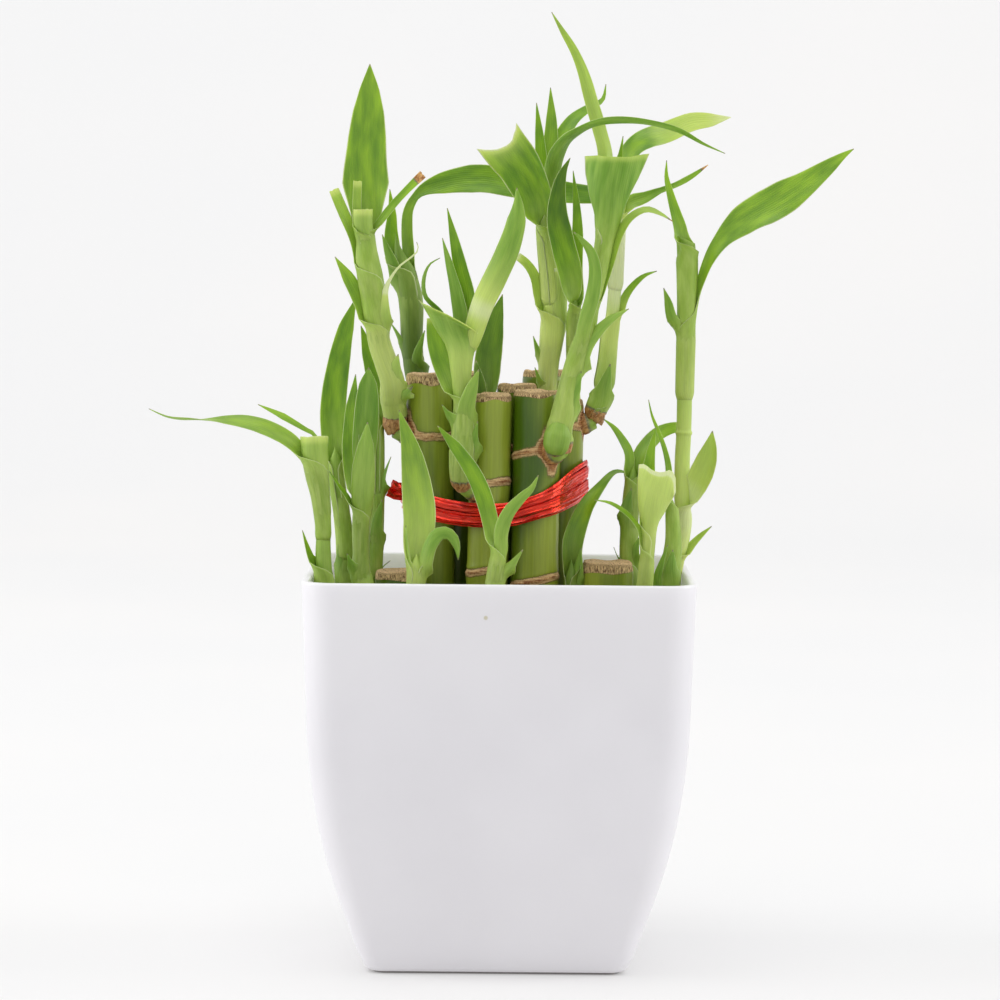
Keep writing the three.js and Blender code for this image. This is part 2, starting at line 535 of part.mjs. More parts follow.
        path: [[26.5, 200, -14], [26.8, 210, -12], [25, 217, -11], [23.2, 223, -11],
          [21.1, 230, -11], [18.4, 236.5, -11], [15, 242, -11.4], [12.3, 246.5, -12]] },
    ],
  },
  shoot_inner_8: {
    root: ["inner_cane_7", 88, 140, 2.2],
    stem: [[24.6, 142.5, -3.3, 2.4], [26.2, 146.5, -3.5, 2.4], [27, 151, -3.5, 2.3],
      [27.6, 156, -3.5, 2], [28.1, 162, -3.5, 1.9], [28.9, 168, -3.5, 1.8], [29.4, 174, -3.5, 1.8],
      [29.8, 180, -3.5, 1.6], [30.2, 186, -3, 1.4], [30.5, 192, -2, 1.3], [30.5, 198, -1, 1.2]],
    leaves: [
      { at: 166, side: 90, w: [3, 2.6, 2.4, 1.8, 0.6], face: [-30],
        path: [[32.3, 172.8, -3.5], [34.5, 176, -3.5], [37.2, 178.4, -3.5], [40.4, 179.6, -3.5]] },
      { at: 144, side: 20, w: [6, 5.5, 4.5, 2.6, 0.7], face: [180],
        path: [[27.2, 150, -6.2], [28.5, 155.3, -6]] },
      { at: 141.5, side: 90, w: [2.6, 2, 1.4, 0.6], path: [[28, 144, -3.5], [29.5, 146.8, -3.5]] },
      { at: 192, side: 90, w: [3, 4, 4.4, 4, 2.8, 1.6, 1.6, 1.7, 1.2, 0.6], face: [-20],
        path: [[33, 197, -1], [37, 198.6, -1], [41, 200.5, -1], [45, 202, -1], [49, 204.2, -1],
          [53.4, 207.3, -1]] },
      { at: 194, side: 150, w: [3, 4, 4.6, 5, 5.4, 5.8, 5.9, 5.8, 5.2, 3.8, 0.8], face: [-20, -10],
        path: [[31, 205, 3], [33.5, 211, 8], [37.5, 213.9, 13], [43, 215.8, 18], [49, 218.4, 21],
          [54.5, 219, 23], [59.2, 219.7, 24]] },
      { at: 195, side: 180, w: [2.4, 2.4, 1.8, 0.6], face: [0],
        path: [[30.2, 206, 0.5], [31.2, 214.6, 0.5]] },
    ],
  },
  shoot_front_1: {
    root: ["outer_cane_12", -38, 83, 1.8],
    stem: [[-20.6, 88.5, -36.8, 2.1], [-21.9, 95, -38, 2.2], [-21.8, 105, -38, 1.6]],
    leaves: [
      { at: 101, side: 180, w: [4.5, 7, 8.5, 8.6, 7.6, 5.8, 3.2, 0.8], face: [0],
        path: [[-21.6, 108, -36], [-21, 114, -35], [-21.7, 122, -34], [-23.4, 132, -34],
          [-26.6, 142.8, -35]] },
      { at: 98, side: -70, w: [4, 3, 2, 0.6], face: [120],
        path: [[-24.4, 106, -37.4], [-24.6, 112.5, -37]] },
      { at: 97, side: 60, w: [4, 4.4, 4.4, 4, 3.4, 2.4, 0.8], face: [150, 150, 150, 190, 210],
        path: [[-19.5, 103, -39.5], [-18, 108, -40], [-15.5, 110.6, -40], [-12.8, 110, -40],
          [-11.2, 107, -40], [-10.8, 103.5, -40]] },
    ],
  },
  shoot_front_2: {
    root: ["outer_cane_1", -25, 83, 1.6],
    stem: [[-1.4, 88.5, -40.6, 2], [-1.3, 96, -41.5, 2.3], [-0.6, 103, -41.5, 2],
      [-0.2, 107, -41.5, 1.5]],
    leaves: [
      { at: 103, side: -70, w: [3.4, 4, 4.4, 4.5, 4, 3, 0.7], face: [0],
        path: [[-2, 110, -40], [-3.3, 117, -39], [-6.3, 125, -38.5], [-11, 132.2, -38.5],
          [-16.5, 138.7, -39]] },
      { at: 103, side: 40, w: [3.6, 3.6, 3.8, 3.2, 2.2, 0.7], face: [180],
        path: [[0.4, 111, -43], [2.2, 116, -43.5], [5.6, 120, -43.5], [8.3, 122.6, -43.3],
          [10, 126, -43]] },
      { at: 98, side: 60, w: [3.4, 3, 2, 0.6], face: [160],
        path: [[3, 102, -42.5], [6.1, 106.4, -42.5]] },
    ],
  },
  shoot_front_3: {
    root: ["outer_cane_2", 165, 87, 1.5],
    stem: [[18.8, 92.5, -15.6, 1.7], [18.9, 98, -15.2, 1.8], [18.9, 104, -15.2, 1.5]],
    leaves: [
      { at: 99, side: 150, w: [5, 5.6, 5.8, 5.2, 4.2, 2.6, 1.6, 0.7], face: [10, 0, -30, -40, -60],
        path: [[19, 107, -14.8], [20.2, 112, -14.6], [22.8, 118, -13], [26.5, 123.5, -9],
          [30, 127, -4], [32.5, 127, -1.5], [34.6, 125.7, 0.5]] },
      { at: 95, side: 50, w: [4.5, 4, 2.6, 0.6], face: [160],
        path: [[20.6, 101, -16], [21.3, 107, -15.6]] },
    ],
  },
  shoot_right_1: {
    root: ["outer_cane_4", 98, 83, 1.8],
    stem: [[42.6, 88, -1.2, 2], [44.9, 96, -3.6, 1.8], [45.7, 101, -3.9, 1.5],
      [46.8, 106, -4.1, 1.6], [48, 112, -4.3, 1.6], [47.7, 120, -4.4, 2.2], [47.6, 130, -4.2, 2.1],
      [47.9, 138, -4, 2.05], [48, 150, -3.8, 2.1], [48.2, 165, -3.7, 2.2], [48.3, 175, -3.8, 2.5],
      [48.2, 182, -4, 2.7], [47.8, 188, -4.2, 2.5]],
    leaves: [
      { at: 164, side: 90, w: [4, 3.2, 3, 3.6, 5.6, 8.6, 10.2, 9, 6.4, 3.6, 0.6],
        face: [-60, -40, -20, -15],
        path: [[51.6, 175, -4], [54, 182, -4.5], [58.3, 188.7, -5], [64, 193.5, -5.5],
          [71, 197.5, -6], [78, 202, -6], [84, 206.5, -6], [88.5, 210, -6], [91.3, 211.8, -6]] },
      { at: 183, side: -40, w: [5, 4.6, 3.8, 2.6, 1.6, 0.6], face: [20],
        path: [[46.3, 190, -5], [45.3, 194, -5.3], [43.8, 199, -5.5], [42.6, 204, -5.5],
          [42.6, 208.4, -5.5]] },
      { at: 162, side: -80, w: [4, 3.6, 3.4, 2.4, 0.6], face: [150],
        path: [[44.2, 167.8, -5], [43.3, 171.8, -5.2], [42.2, 175.2, -5.2]] },
      { at: 116, side: 60, w: [4.5, 4.6, 5.8, 7.4, 7.6, 6.6, 3.8, 0.8],
        curl: [80, 60, 45, 40, 35, 30], face: [-40, -30, -20],
        path: [[51.5, 123, -6], [53.6, 128, -7.5], [54.9, 133, -8.5], [55.4, 138, -9]] },
      { at: 104, side: 90, w: [3.5, 3, 2.4, 1.6, 0.6], face: [-30],
        path: [[50.4, 108, -4], [52.8, 110.6, -4], [55.5, 113, -4]] },
    ],
  },
  shoot_right_2: {
    root: ["outer_cane_3", 85, 82, 1.8],
    stem: [[39.8, 87, -17.6, 2.1], [43, 92.5, -21.2, 2.5], [44.4, 98, -23, 2.6],
      [45, 103, -23, 2.4], [45.5, 109, -22.5, 1.9], [45.2, 115, -22, 1.6], [44.6, 121, -22, 1.3]],
    leaves: [
      { at: 97, side: 20, w: [8, 7, 5, 2.8, 0.8], curl: [100, 80, 60, 40, 20], face: [180],
        path: [[45, 102, -26], [45.4, 106.8, -25.6]] },
      { at: 117, side: -60, w: [2.4, 2.2, 1.9, 1.4, 0.9, 0.6], face: [20],
        path: [[44, 128, -22.5], [42.8, 133.5, -23], [41, 138.3, -23.3], [39.5, 142, -23.5],
          [38.6, 146, -23.5]] },
      { at: 93, side: -30, w: [3.4, 2.6, 1.9, 0.6], face: [180],
        path: [[41.4, 99, -26], [42.4, 103, -27], [44, 108, -28]] },
    ],
  },
  shoot_right_3: {
    root: ["outer_cane_3", 48, 84, 1.7],
    stem: [[35, 88.5, -25.4, 1.9], [37.4, 93, -29, 1.9], [38.2, 98, -30, 1.7],
      [38.6, 104, -30, 1.6], [39.1, 110, -30, 1.6], [39.4, 115, -30, 1.7], [39.6, 119, -30, 1.8]],
    leaves: [
      { at: 112, side: 0, w: [7, 8, 9.5, 11, 12], curl: [100, 80, 60, 45, 40], face: [180],
        skew: [0, 0, 1, 2, 2],
        path: [[39.7, 117, -32], [40.3, 121, -32.6], [41, 124.5, -32.6], [41.8, 127.5, -32]] },
      { at: 110, side: -140, w: [3, 3.6, 4, 3.6, 2.2, 0.6], face: [0],
        path: [[38.3, 118, -28], [38.7, 126, -27.5], [39.3, 132, -27.5], [40.6, 138.8, -27.5]] },
      { at: 104, side: -80, w: [2.6, 2.4, 2.4, 2.2, 1.8, 1.2, 0.6], face: [60, 50],
        path: [[36.6, 111.5, -31], [34.5, 114.8, -31.5], [31.5, 117.4, -32], [28.5, 119, -32],
          [24.8, 119.6, -32]] },
    ],
  },
  shoot_right_4: {
    root: ["outer_cane_4", 38, 85, 1.4],
    stem: [[35.6, 90, -7, 1.7], [34.6, 97, -6.4, 1.8], [33.8, 105, -6.2, 1.9], [34, 112, -6.2, 2],
      [34.3, 119, -6.2, 2.1], [34.7, 125, -6.2, 1.9], [34.9, 129, -6.2, 1.6]],
    leaves: [
      { at: 123, side: -90, w: [3.4, 3.2, 3.2, 2.8, 1.8, 0.6], face: [30],
        path: [[33.6, 131.5, -6.5], [31.8, 135.5, -6.8], [29.4, 138.8, -7], [26.8, 140.9, -7]] },
      { at: 123, side: 90, w: [3, 3.6, 4.2, 4.2, 3.6, 2.6], face: [-20],
        path: [[36.6, 131, -5], [38.8, 134.5, -3], [41.5, 137.3, -0.5], [44.5, 138.6, 1],
          [47.5, 139, 2]] },
      { at: 112, side: -30, w: [5, 4.6, 3, 0.7], face: [180],
        path: [[33.2, 118, -8.6], [34.4, 122.8, -8.8]] },
      { at: 101, side: -90, w: [2, 1.6, 1.2, 0.6], path: [[31, 104.5, -6.5], [29.9, 107.3, -6.5]] },
      { at: 101, side: 40, w: [5, 4, 2.6, 0.6], face: [160],
        path: [[35.4, 106, -8.4], [36.6, 110, -8.4]] },
    ],
  },
};

// Shoots at the back, which grow by one rule from the canes there: a stem that leaves the cane
// outwards and then stands up, and leaves that turn from side to side up it.
const BACK_SHOOTS = [
  { name: "shoot_back_1", cane: "outer_cane_6", azimuth: 161, top: 130, seed: 3 },
  { name: "shoot_back_2", cane: "outer_cane_7", azimuth: 182, top: 137, seed: 5 },
  { name: "shoot_back_3", cane: "outer_cane_8", azimuth: 204, top: 128, seed: 8 },
  { name: "shoot_back_4", cane: "outer_cane_9", azimuth: 240, top: 112, seed: 12 },
];
const BACK_FOOT = 84; // height at which they leave the cane
const BACK_REACH = 42; // how far from the middle their stems stand
const BACK_LEAN = 0.8; // how much less far at the stem's lower end
const BACK_STEM = 1.9;
const BACK_ROOT = 0.85; // radius of the root, in stem radii
const BACK_TIP = 0.8; // radius at the stem's upper end, in the same
const BACK_START = 5; // height over the foot at which the stem stands up
const BACK_END = 6; // how far below the shoot's top the stem ends
const BACK_LEAVES = [0.35, 0.55, 0.7]; // where its leaves leave it, as shares of its height
const BACK_WIDTHS = [4, 5, 5.4, 4.6, 2.8, 0.7]; // widths along a leaf
const BACK_TURN = [35, 70]; // range of a leaf's turn away from the stem's azimuth
const BACK_OUT = [4, 7]; // range of its tip's distance from the stem
const BACK_LIFT = [0.3, 0.42]; // range of its rise, in shares of the shoot's height
// The path of such a leaf: a distance from the stem, a share of its reach and a share of its rise.
const BACK_PATH = [[3.4, 0, 0.45], [0, 0.6, 0.85], [0, 1, 1.1]];

const DRAW_FACTOR = 16807;
const DRAW_RANGE = 2147483647;

function seededDraw(seed) {
  let state = seed;
  return ([low, high]) => {
    state = (state * DRAW_FACTOR) % DRAW_RANGE;
    return low + ((high - low) * state) / DRAW_RANGE;
  };
}

// The inverse of seen, for places worked out round the pot's middle.
function asSeen(x, y, z) {
  const scale = (y + EYE_DISTANCE) / EYE_DISTANCE;
  return [x / scale, EYE_HEIGHT + (z - EYE_HEIGHT) / scale, y];
}

function growBackShoot({ cane, azimuth, top, seed }) {
  const draw = seededDraw(seed);
  const turn = THREE.MathUtils.degToRad(azimuth);
  const away = new THREE.Vector2(Math.sin(turn), -Math.cos(turn));
  const at = (reach, height) => asSeen(away.x * reach, away.y * reach, height);
  const start = BACK_FOOT + BACK_START;
  const stem = [
    [...at(BACK_REACH - BACK_LEAN, start), BACK_STEM],
    [...at(BACK_REACH, (start + top) / 2), BACK_STEM],
    [...at(BACK_REACH, top - BACK_END), BACK_STEM * BACK_TIP],
  ];
  const rise = top - BACK_FOOT;
  const leaves = BACK_LEAVES.map((share, k) => {
    const side = azimuth + (k % 2 ? 1 : -1) * draw(BACK_TURN);
    const way = THREE.MathUtils.degToRad(side);
    const reach = draw(BACK_OUT);
    const lift = rise * draw(BACK_LIFT);
    const foot = BACK_FOOT + rise * share;
    const spot = (out, up) => asSeen(
      away.x * BACK_REACH + Math.sin(way) * out,
      away.y * BACK_REACH - Math.cos(way) * out,
      foot + up,
    );
    return {
      at: asSeen(0, away.y * BACK_REACH, foot)[1],
      side,
      w: BACK_WIDTHS,
      path: BACK_PATH.map(([out, far, up]) => spot(out + reach * far, lift * up)),
    };
  });
  return { root: [cane, azimuth, BACK_FOOT, BACK_STEM * BACK_ROOT], stem, leaves };
}

// A shoot's root: a flat end that stands clear of its cane, and a first short length outwards.
const ROOT_LENGTH = 1.15; // in root radii
const ROOT_RISE = 0.5; // how much it rises over that length

function rootPoints([name, azimuth, height, radius], canes) {
  const { foot, top, radius: caneRadius } = canes.find((cane) => cane.name === name);
  const centre = foot.clone().lerp(top, (height - foot.z) / (top.z - foot.z));
  const turn = THREE.MathUtils.degToRad(azimuth);
  const at = (reach, rise) => asSeen(
    centre.x + Math.sin(turn) * reach, centre.y - Math.cos(turn) * reach, height + rise);
  const start = caneRadius + NODE_SWELL + GAP;
  return [[...at(start, 0), radius], [...at(start + ROOT_LENGTH * radius, ROOT_RISE), radius]];
}

function shootGeometry({ root, stem: points, leaves }, canes) {
  const stem = makeStem([...rootPoints(root, canes), ...points]);
  const solids = [stemSolid(stem), ...leaves.map((leaf) => leafSolid(leaf, stem))];
  return largestBody(solidGeometry(join(solids)));
}

// Canes: a foot and a cut top, given by their true x, y and z, a radius and the heights of nodes.
const INNER_CANES = [
  { foot: [-15.4, -5.4], top: [-18.9, -6, 152.8], radius: 6, nodes: [92, 137] },
  { foot: [-5, -12.6], top: [-2.3, -13, 147.8], radius: 5.3, nodes: [102, 124.6] },
  { foot: [8.6, -12.6], top: [9.4, -13, 148.7], radius: 6.1, nodes: [99.4, 133] },
  { foot: [4, 0.6], top: [4.3, 0, 150], radius: 5.3, nodes: [90, 134] },
  { foot: [-11.4, 6.6], top: [-11, 4, 152.6], radius: 5.8, nodes: [86, 139] },
  { foot: [11.4, 12.6], top: [11.3, 13, 153], radius: 5.6, nodes: [84, 139] },
  { foot: [16, -2.4], top: [16.2, -3, 146.5], radius: 5.3, nodes: [95, 140] },
  { foot: [-1, 14], top: [-1.8, 14.6, 145], radius: 5.6, nodes: [85, 131] },
];
const OUTER_AZIMUTHS = [5, 35, 65, 95, 125, 155, 185, 215, 245, 275, 305, 335];
const OUTER_TOPS = [96.2, 96.4, 104.6, 98.6, 101, 97.5, 99, 101.5, 97, 98.8, 102.4, 96];
const CANE_SIDES = 10;
const NODE_SWELL = 0.35; // how far a node ring stands out
const NODE_HALF = 1.4; // half its height
const CUT_SHRINK = 0.35; // how far the dried cut end draws in
const CUT_BAND = 3; // height of the dried band
const OUTER_NODE = 15.5; // how far below its top a short cane's node lies

// A cane's profile in its own frame, from its foot to its cut end.
function caneProfile(length, radius, nodes) {
  const profile = [[0, 0], [radius, 0]];
  for (const node of nodes) {
    profile.push([radius, node - NODE_HALF]);
    profile.push([radius + NODE_SWELL, node]);
    profile.push([radius, node + NODE_HALF]);
  }
  profile.push([radius, length - CUT_BAND]);
  profile.push([radius - CUT_SHRINK, length]);
  profile.push([0, length]);
  return profile.map(([r, z]) => new THREE.Vector2(r, z));
}

function turned(profile, sides) {
  return new THREE.LatheGeometry(profile, sides).rotateX(Math.PI / 2);
}

// Stands a piece made along +Z with its end at the origin on the line from foot to top.
function stand(foot, top) {
  const axis = new THREE.Vector3().subVectors(top, foot);
  const up = new THREE.Vector3(0, 0, 1);
  const turn = new THREE.Quaternion().setFromUnitVectors(up, axis.clone().normalize());
  return { axis, matrix: new THREE.Matrix4().compose(foot, turn, new THREE.Vector3(1, 1, 1)) };
}

function caneList() {
  const inner = INNER_CANES.map(({ foot, top, radius, nodes }, k) => ({
    name: `inner_cane_${k + 1}`,
    foot: new THREE.Vector3(...foot, INNER_FOOT),
    top: new THREE.Vector3(...top),
    radius,
    nodes: nodes.map((height) => height - INNER_FOOT),
  }));
  const outer = OUTER_AZIMUTHS.map((azimuth, k) => {
    const turn = THREE.MathUtils.degToRad(azimuth);
    const spot = (ring, z) => new THREE.Vector3(ring * Math.sin(turn), -ring * Math.cos(turn), z);
    const length = OUTER_TOPS[k] - OUTER_FOOT;
    return {
      name: `outer_cane_${k + 1}`,
      foot: spot(OUTER_RING_FOOT, OUTER_FOOT),
      top: spot(OUTER_RING, OUTER_TOPS[k]),
      radius: OUTER_CANE,
      nodes: [length - OUTER_NODE],
    };
  });
  return [...inner, ...outer];
}

// Pot: half widths of its rounded square outline by height, and the radius of its corners.
const LIP = 0.6; // height over which the rim is rounded off
const POT_OUTLINE = [
  [0, 31.5, 3.4], [0.8, 32.9, 3.8], [3, 34.3, 4.4], [12, 37.7, 5.4], [24, 41.7, 6.4], [34, 44.4, 7],
  [46, 46.7, 7.5], [62, 48.4, 7.8], [POT_HEIGHT - LIP, 49.8, 8.2], [POT_HEIGHT, 49.5, 8],
];
const INSIDE_LEVELS = [12, 24, 34, 46, 62]; // heights at which the inside bends
const RIM_WALL = 1.6; // the wall where the rim is rounded off
const CORNER_PARTS = 5;

function roundedSquare(half, corner, z) {
  const points = [];
  for (let quarter = 0; quarter < 4; quarter++) {
    for (let k = 0; k <= CORNER_PARTS; k++) {
      const angle = (Math.PI / 2) * (quarter + k / CORNER_PARTS);
      const sx = quarter === 0 || quarter === 3 ? 1 : -1;
      const sy = quarter < 2 ? 1 : -1;
      points.push(new THREE.Vector3(
        sx * (half - corner) + corner * Math.cos(angle),
        sy * (half - corner) + corner * Math.sin(angle),
        z,
      ));
    }
  }
  return points;
}

// Half width and corner radius of the pot's outside at a height.
function potAt(z) {
  let k = 0;
  while (k < POT_OUTLINE.length - 2 && POT_OUTLINE[k + 1][0] < z) k++;
  const [low, high] = [POT_OUTLINE[k], POT_OUTLINE[k + 1]];
  const t = (z - low[0]) / (high[0] - low[0]);
  return [low[1] + (high[1] - low[1]) * t, low[2] + (high[2] - low[2]) * t];
}

function potRing(z, inset) {
  const [half, corner] = potAt(z);
  return roundedSquare(half - inset, corner - inset, z);
}

function makePot() {
  const heights = POT_OUTLINE.map(([z]) => z);
  const outside = heights.map((z) => potRing(z, 0));
  const inside = [POT_HEIGHT - LIP, ...[...INSIDE_LEVELS].reverse(), POT_FLOOR]
    .map((z) => potRing(z, POT_WALL));
  const rings = [...outside, potRing(POT_HEIGHT, RIM_WALL), ...inside];
  return solidGeometry(toSolid(...closedLoft(rings, fanCap)));
}

// Gravel: it fills the pot up to its top, with a plain hole for each cane.
function makeGravel(canes) {
  const heights = [POT_FLOOR + GAP, ...INSIDE_LEVELS, FILL_TOP];
  const fill = toSolid(...closedLoft(heights.map((z) => potRing(z, POT_WALL + GAP)), fanCap));
  const holes = canes.map(({ foot, top, radius }) => {
    const { axis, matrix } = stand(foot, top);
    const wide = radius + NODE_SWELL + GAP;
    const plain = [[0, -GAP], [wide, -GAP], [wide, axis.length()], [0, axis.length()]];
    const bar = turned(plain.map(([r, z]) => new THREE.Vector2(r, z)), CANE_SIDES);
    return geometrySolid(bar.applyMatrix4(matrix));
  });
  return solidGeometry(fill.subtract(join(holes)));
}

// Tie: a foil band round the tall canes, in a few ridged turns, with a loose end at the left.
const TIE_LOW = [-6, 116.5]; // across and height of the lowest point of its middle line
const TIE_RISE = 0.0115; // how much it rises with the square of the distance across from there
const TIE_SECTION = [
  [0, -3], [1, -2.7], [1.3, -1.8], [0.9, -1], [1.3, 0], [0.9, 1], [1.3, 1.9], [1, 2.8], [0, 3],
];
const TIE_SIDES = 12; // corners of the band on a whole turn round one cane
const TIE_CLEARANCE = 0.6; // from a cane to a corner of the band
const TIE_FLAG = 0.8; // thickness of its loose end
const TIE_END = [ // corners of the loose end, as seen
  [-23.6, 118.8, -10.2], [-23.6, 124.2, -10.2], [-30, 123.6, -12], [-27.2, 119, -11.4],
];

// The corners of the line that a tight band takes round circles: the hull of points on all of them.
function bandCorners(circles) {
  const points = circles.flatMap(([x, y, r]) => Array.from({ length: TIE_SIDES }, (_, k) => {
    const angle = (2 * Math.PI * k) / TIE_SIDES;
    return new THREE.Vector2(x + r * Math.cos(angle), y + r * Math.sin(angle));
  })).sort((a, b) => a.x - b.x || a.y - b.y);
  const chain = (list) => list.reduce((hull, point) => {
    while (hull.length > 1) {
      const [a, b] = hull.slice(-2);
      if ((b.x - a.x) * (point.y - a.y) - (b.y - a.y) * (point.x - a.x) > 0) break;
      hull.pop();
    }
    return [...hull, point];
  }, []);
  return [...chain(points).slice(0, -1), ...chain([...points].reverse()).slice(0, -1)];
}

function makeTie(canes) {
  const tall = canes.filter(({ name }) => name.startsWith("inner"));
  const circles = tall.map(({ foot, top, radius }) => {
    const share = (TIE_LOW[1] - foot.z) / (top.z - foot.z);
    const spot = foot.clone().lerp(top, share);
    return [spot.x, spot.y, radius + TIE_CLEARANCE];
  });
  const corners = bandCorners(circles);
  const rings = corners.map((spot, k) => {
    const before = corners[(k + corners.length - 1) % corners.length];
    const after = corners[(k + 1) % corners.length];
    const out = new THREE.Vector2(after.y - before.y, before.x - after.x).normalize();
    const height = TIE_LOW[1] + TIE_RISE * (spot.x - TIE_LOW[0]) ** 2;
    return TIE_SECTION.map(([thick, up]) => new THREE.Vector3(
      spot.x + out.x * thick, spot.y + out.y * thick, height + up));
  });
  const { positions, triangles, count, last } = loft(rings);
  for (let k = 0; k < count; k++) {
    const next = (k + 1) % count;
    triangles.push(last + k, k, next, last + k, next, last + next);
  }
  const band = toSolid(...outward(positions, triangles));
  const flag = [0, TIE_FLAG].map((back) => (
    TIE_END.map(([across, up, depth]) => seen([across, up, depth + back]))));
  return largestBody(solidGeometry(join([band, toSolid(...closedLoft(flag, fanCap))])));
}

// Assembly
const canes = caneList();
addNode("pot", "pot", makePot());
addNode("gravel", "gravel", makeGravel(canes));
for (const { name, foot, top, radius, nodes } of canes) {
  const { axis, matrix } = stand(foot, top);
  const cane = turned(caneProfile(axis.length(), radius, nodes), CANE_SIDES);
  addNode(name, "cane", solidGeometry(geometrySolid(cane))).applyMatrix4(matrix);
}
addNode("tie", "tie", makeTie(canes));
for (const [name, shoot] of Object.entries(SHOOTS)) {
  addNode(name, "shoot", shootGeometry(shoot, canes));
}
for (const plan of BACK_SHOOTS) {
  addNode(plan.name, "shoot", shootGeometry(growBackShoot(plan), canes));
}

export default group;
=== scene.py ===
"""Lucky bamboo in a square white pot: the finer pieces that stand for the CAD solids, their looks,
the floor, the light and the camera. Lengths are in millimetres until a mesh is made, with +Z up."""

import math
from types import SimpleNamespace

import bmesh
import bpy
import numpy as np
from mathutils import Matrix


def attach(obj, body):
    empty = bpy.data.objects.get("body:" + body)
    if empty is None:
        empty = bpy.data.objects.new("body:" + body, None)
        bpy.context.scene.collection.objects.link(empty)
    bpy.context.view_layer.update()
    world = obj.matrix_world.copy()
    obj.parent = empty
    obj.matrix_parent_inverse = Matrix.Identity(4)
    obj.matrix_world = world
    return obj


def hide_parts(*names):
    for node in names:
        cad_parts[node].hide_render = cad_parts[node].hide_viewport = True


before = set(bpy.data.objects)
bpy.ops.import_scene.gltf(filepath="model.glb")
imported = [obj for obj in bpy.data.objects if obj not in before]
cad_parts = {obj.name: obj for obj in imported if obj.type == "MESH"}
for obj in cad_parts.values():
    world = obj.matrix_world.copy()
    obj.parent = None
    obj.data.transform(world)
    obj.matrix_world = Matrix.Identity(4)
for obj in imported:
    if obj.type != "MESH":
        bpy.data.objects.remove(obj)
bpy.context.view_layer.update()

MM = 0.001

# Driving dimensions, the same as those of the solids
POT_HEIGHT = 101.5
POT_WALL = 2.0
FILL_TOP = 74.0
INNER_FOOT = 8.0
OUTER_FOOT = 28.0
OUTER_RING = 31.0
OUTER_RING_FOOT = 29.0
OUTER_CANE = 6.7
EYE_DISTANCE = 1050.0
EYE_HEIGHT = 191.0
ROOT_DEPTH = 2.5  # how far below its seat a leaf begins
ROOT_LENGTH = 1.15
NODE_SWELL = 0.35
GAP = 0.3


# Points, directions and curves
def seen(spot):
    """The place of a point given as seen: across, up and depth."""
    across, up, depth = spot[:3]
    scale = (depth + EYE_DISTANCE) / EYE_DISTANCE
    return np.array([across * scale, depth, EYE_HEIGHT + (up - EYE_HEIGHT) * scale])


def as_seen(x, y, z):
    """The inverse of seen."""
    scale = (y + EYE_DISTANCE) / EYE_DISTANCE
    return [x / scale, EYE_HEIGHT + (z - EYE_HEIGHT) / scale, y]


def compass(azimuth):
    """The level direction at an azimuth in degrees, from the eye's side round to the right."""
    turn = math.radians(azimuth)
    return np.array([math.sin(turn), -math.cos(turn), 0.0])


def smooth(t):
    t = np.clip(t, 0.0, 1.0)
    return t * t * (3.0 - 2.0 * t)


def along(values, t):
    """The value at share t of an evenly spaced list."""
    return np.interp(np.clip(t, 0.0, 1.0) * (len(values) - 1), np.arange(len(values)), values)


def unit(v):
    return v / np.maximum(np.linalg.norm(v, axis=-1, keepdims=True), 1e-12)


def on_plane(v, direction):
    return v - direction * np.sum(v * direction, axis=-1, keepdims=True)


def running_length(line):
    """The length of a line up to each of its points."""
    return np.concatenate([[0.0], np.cumsum(np.linalg.norm(np.diff(line, axis=0), axis=1))])


def stacked(*layers):
    """Numbers or arrays, widened to one shape, as the last axis of one array."""
    return np.stack(np.broadcast_arrays(*layers), axis=-1)


class Curve:
    """A centripetal Catmull-Rom curve."""

    MEASURED = 401  # points at which its length is measured
    STEP = 1e-4  # how far apart its headings are taken

    def __init__(self, points):
        p = np.array(points, float)
        self.spans = len(p) - 1
        self.points = np.vstack([2 * p[0] - p[1], p, 2 * p[-1] - p[-2]])
        self.t = np.linspace(0.0, 1.0, self.MEASURED)
        self.reach = running_length(self.at(self.t))
        self.length = self.reach[-1]

    def at(self, t):
        place = np.clip(np.atleast_1d(t), 0.0, 1.0) * self.spans
        i = np.minimum(place.astype(int), self.spans - 1)
        w = (place - i)[:, None]
        p0, p1, p2, p3 = (self.points[i + k] for k in range(4))
        pairs = ((p0, p1), (p1, p2), (p2, p3))
        d0, d1, d2 = (np.sqrt(np.linalg.norm(b - a, axis=1))[:, None] for a, b in pairs)
        m1 = ((p1 - p0) / d0 - (p2 - p0) / (d0 + d1) + (p2 - p1) / d1) * d1
        m2 = ((p2 - p1) / d1 - (p3 - p1) / (d1 + d2) + (p3 - p2) / d2) * d1
        c2 = -3 * p1 + 3 * p2 - 2 * m1 - m2
        c3 = 2 * p1 - 2 * p2 + m1 + m2
        return p1 + m1 * w + c2 * w**2 + c3 * w**3

    def heading(self, t):
        t = np.atleast_1d(t)
        return unit(self.at(t + self.STEP) - self.at(t - self.STEP))

    def by_length(self, share):
        """Points and headings at shares of the length."""
        t = np.interp(np.asarray(share) * self.length, self.reach, self.t)
        return self.at(t), self.heading(t)


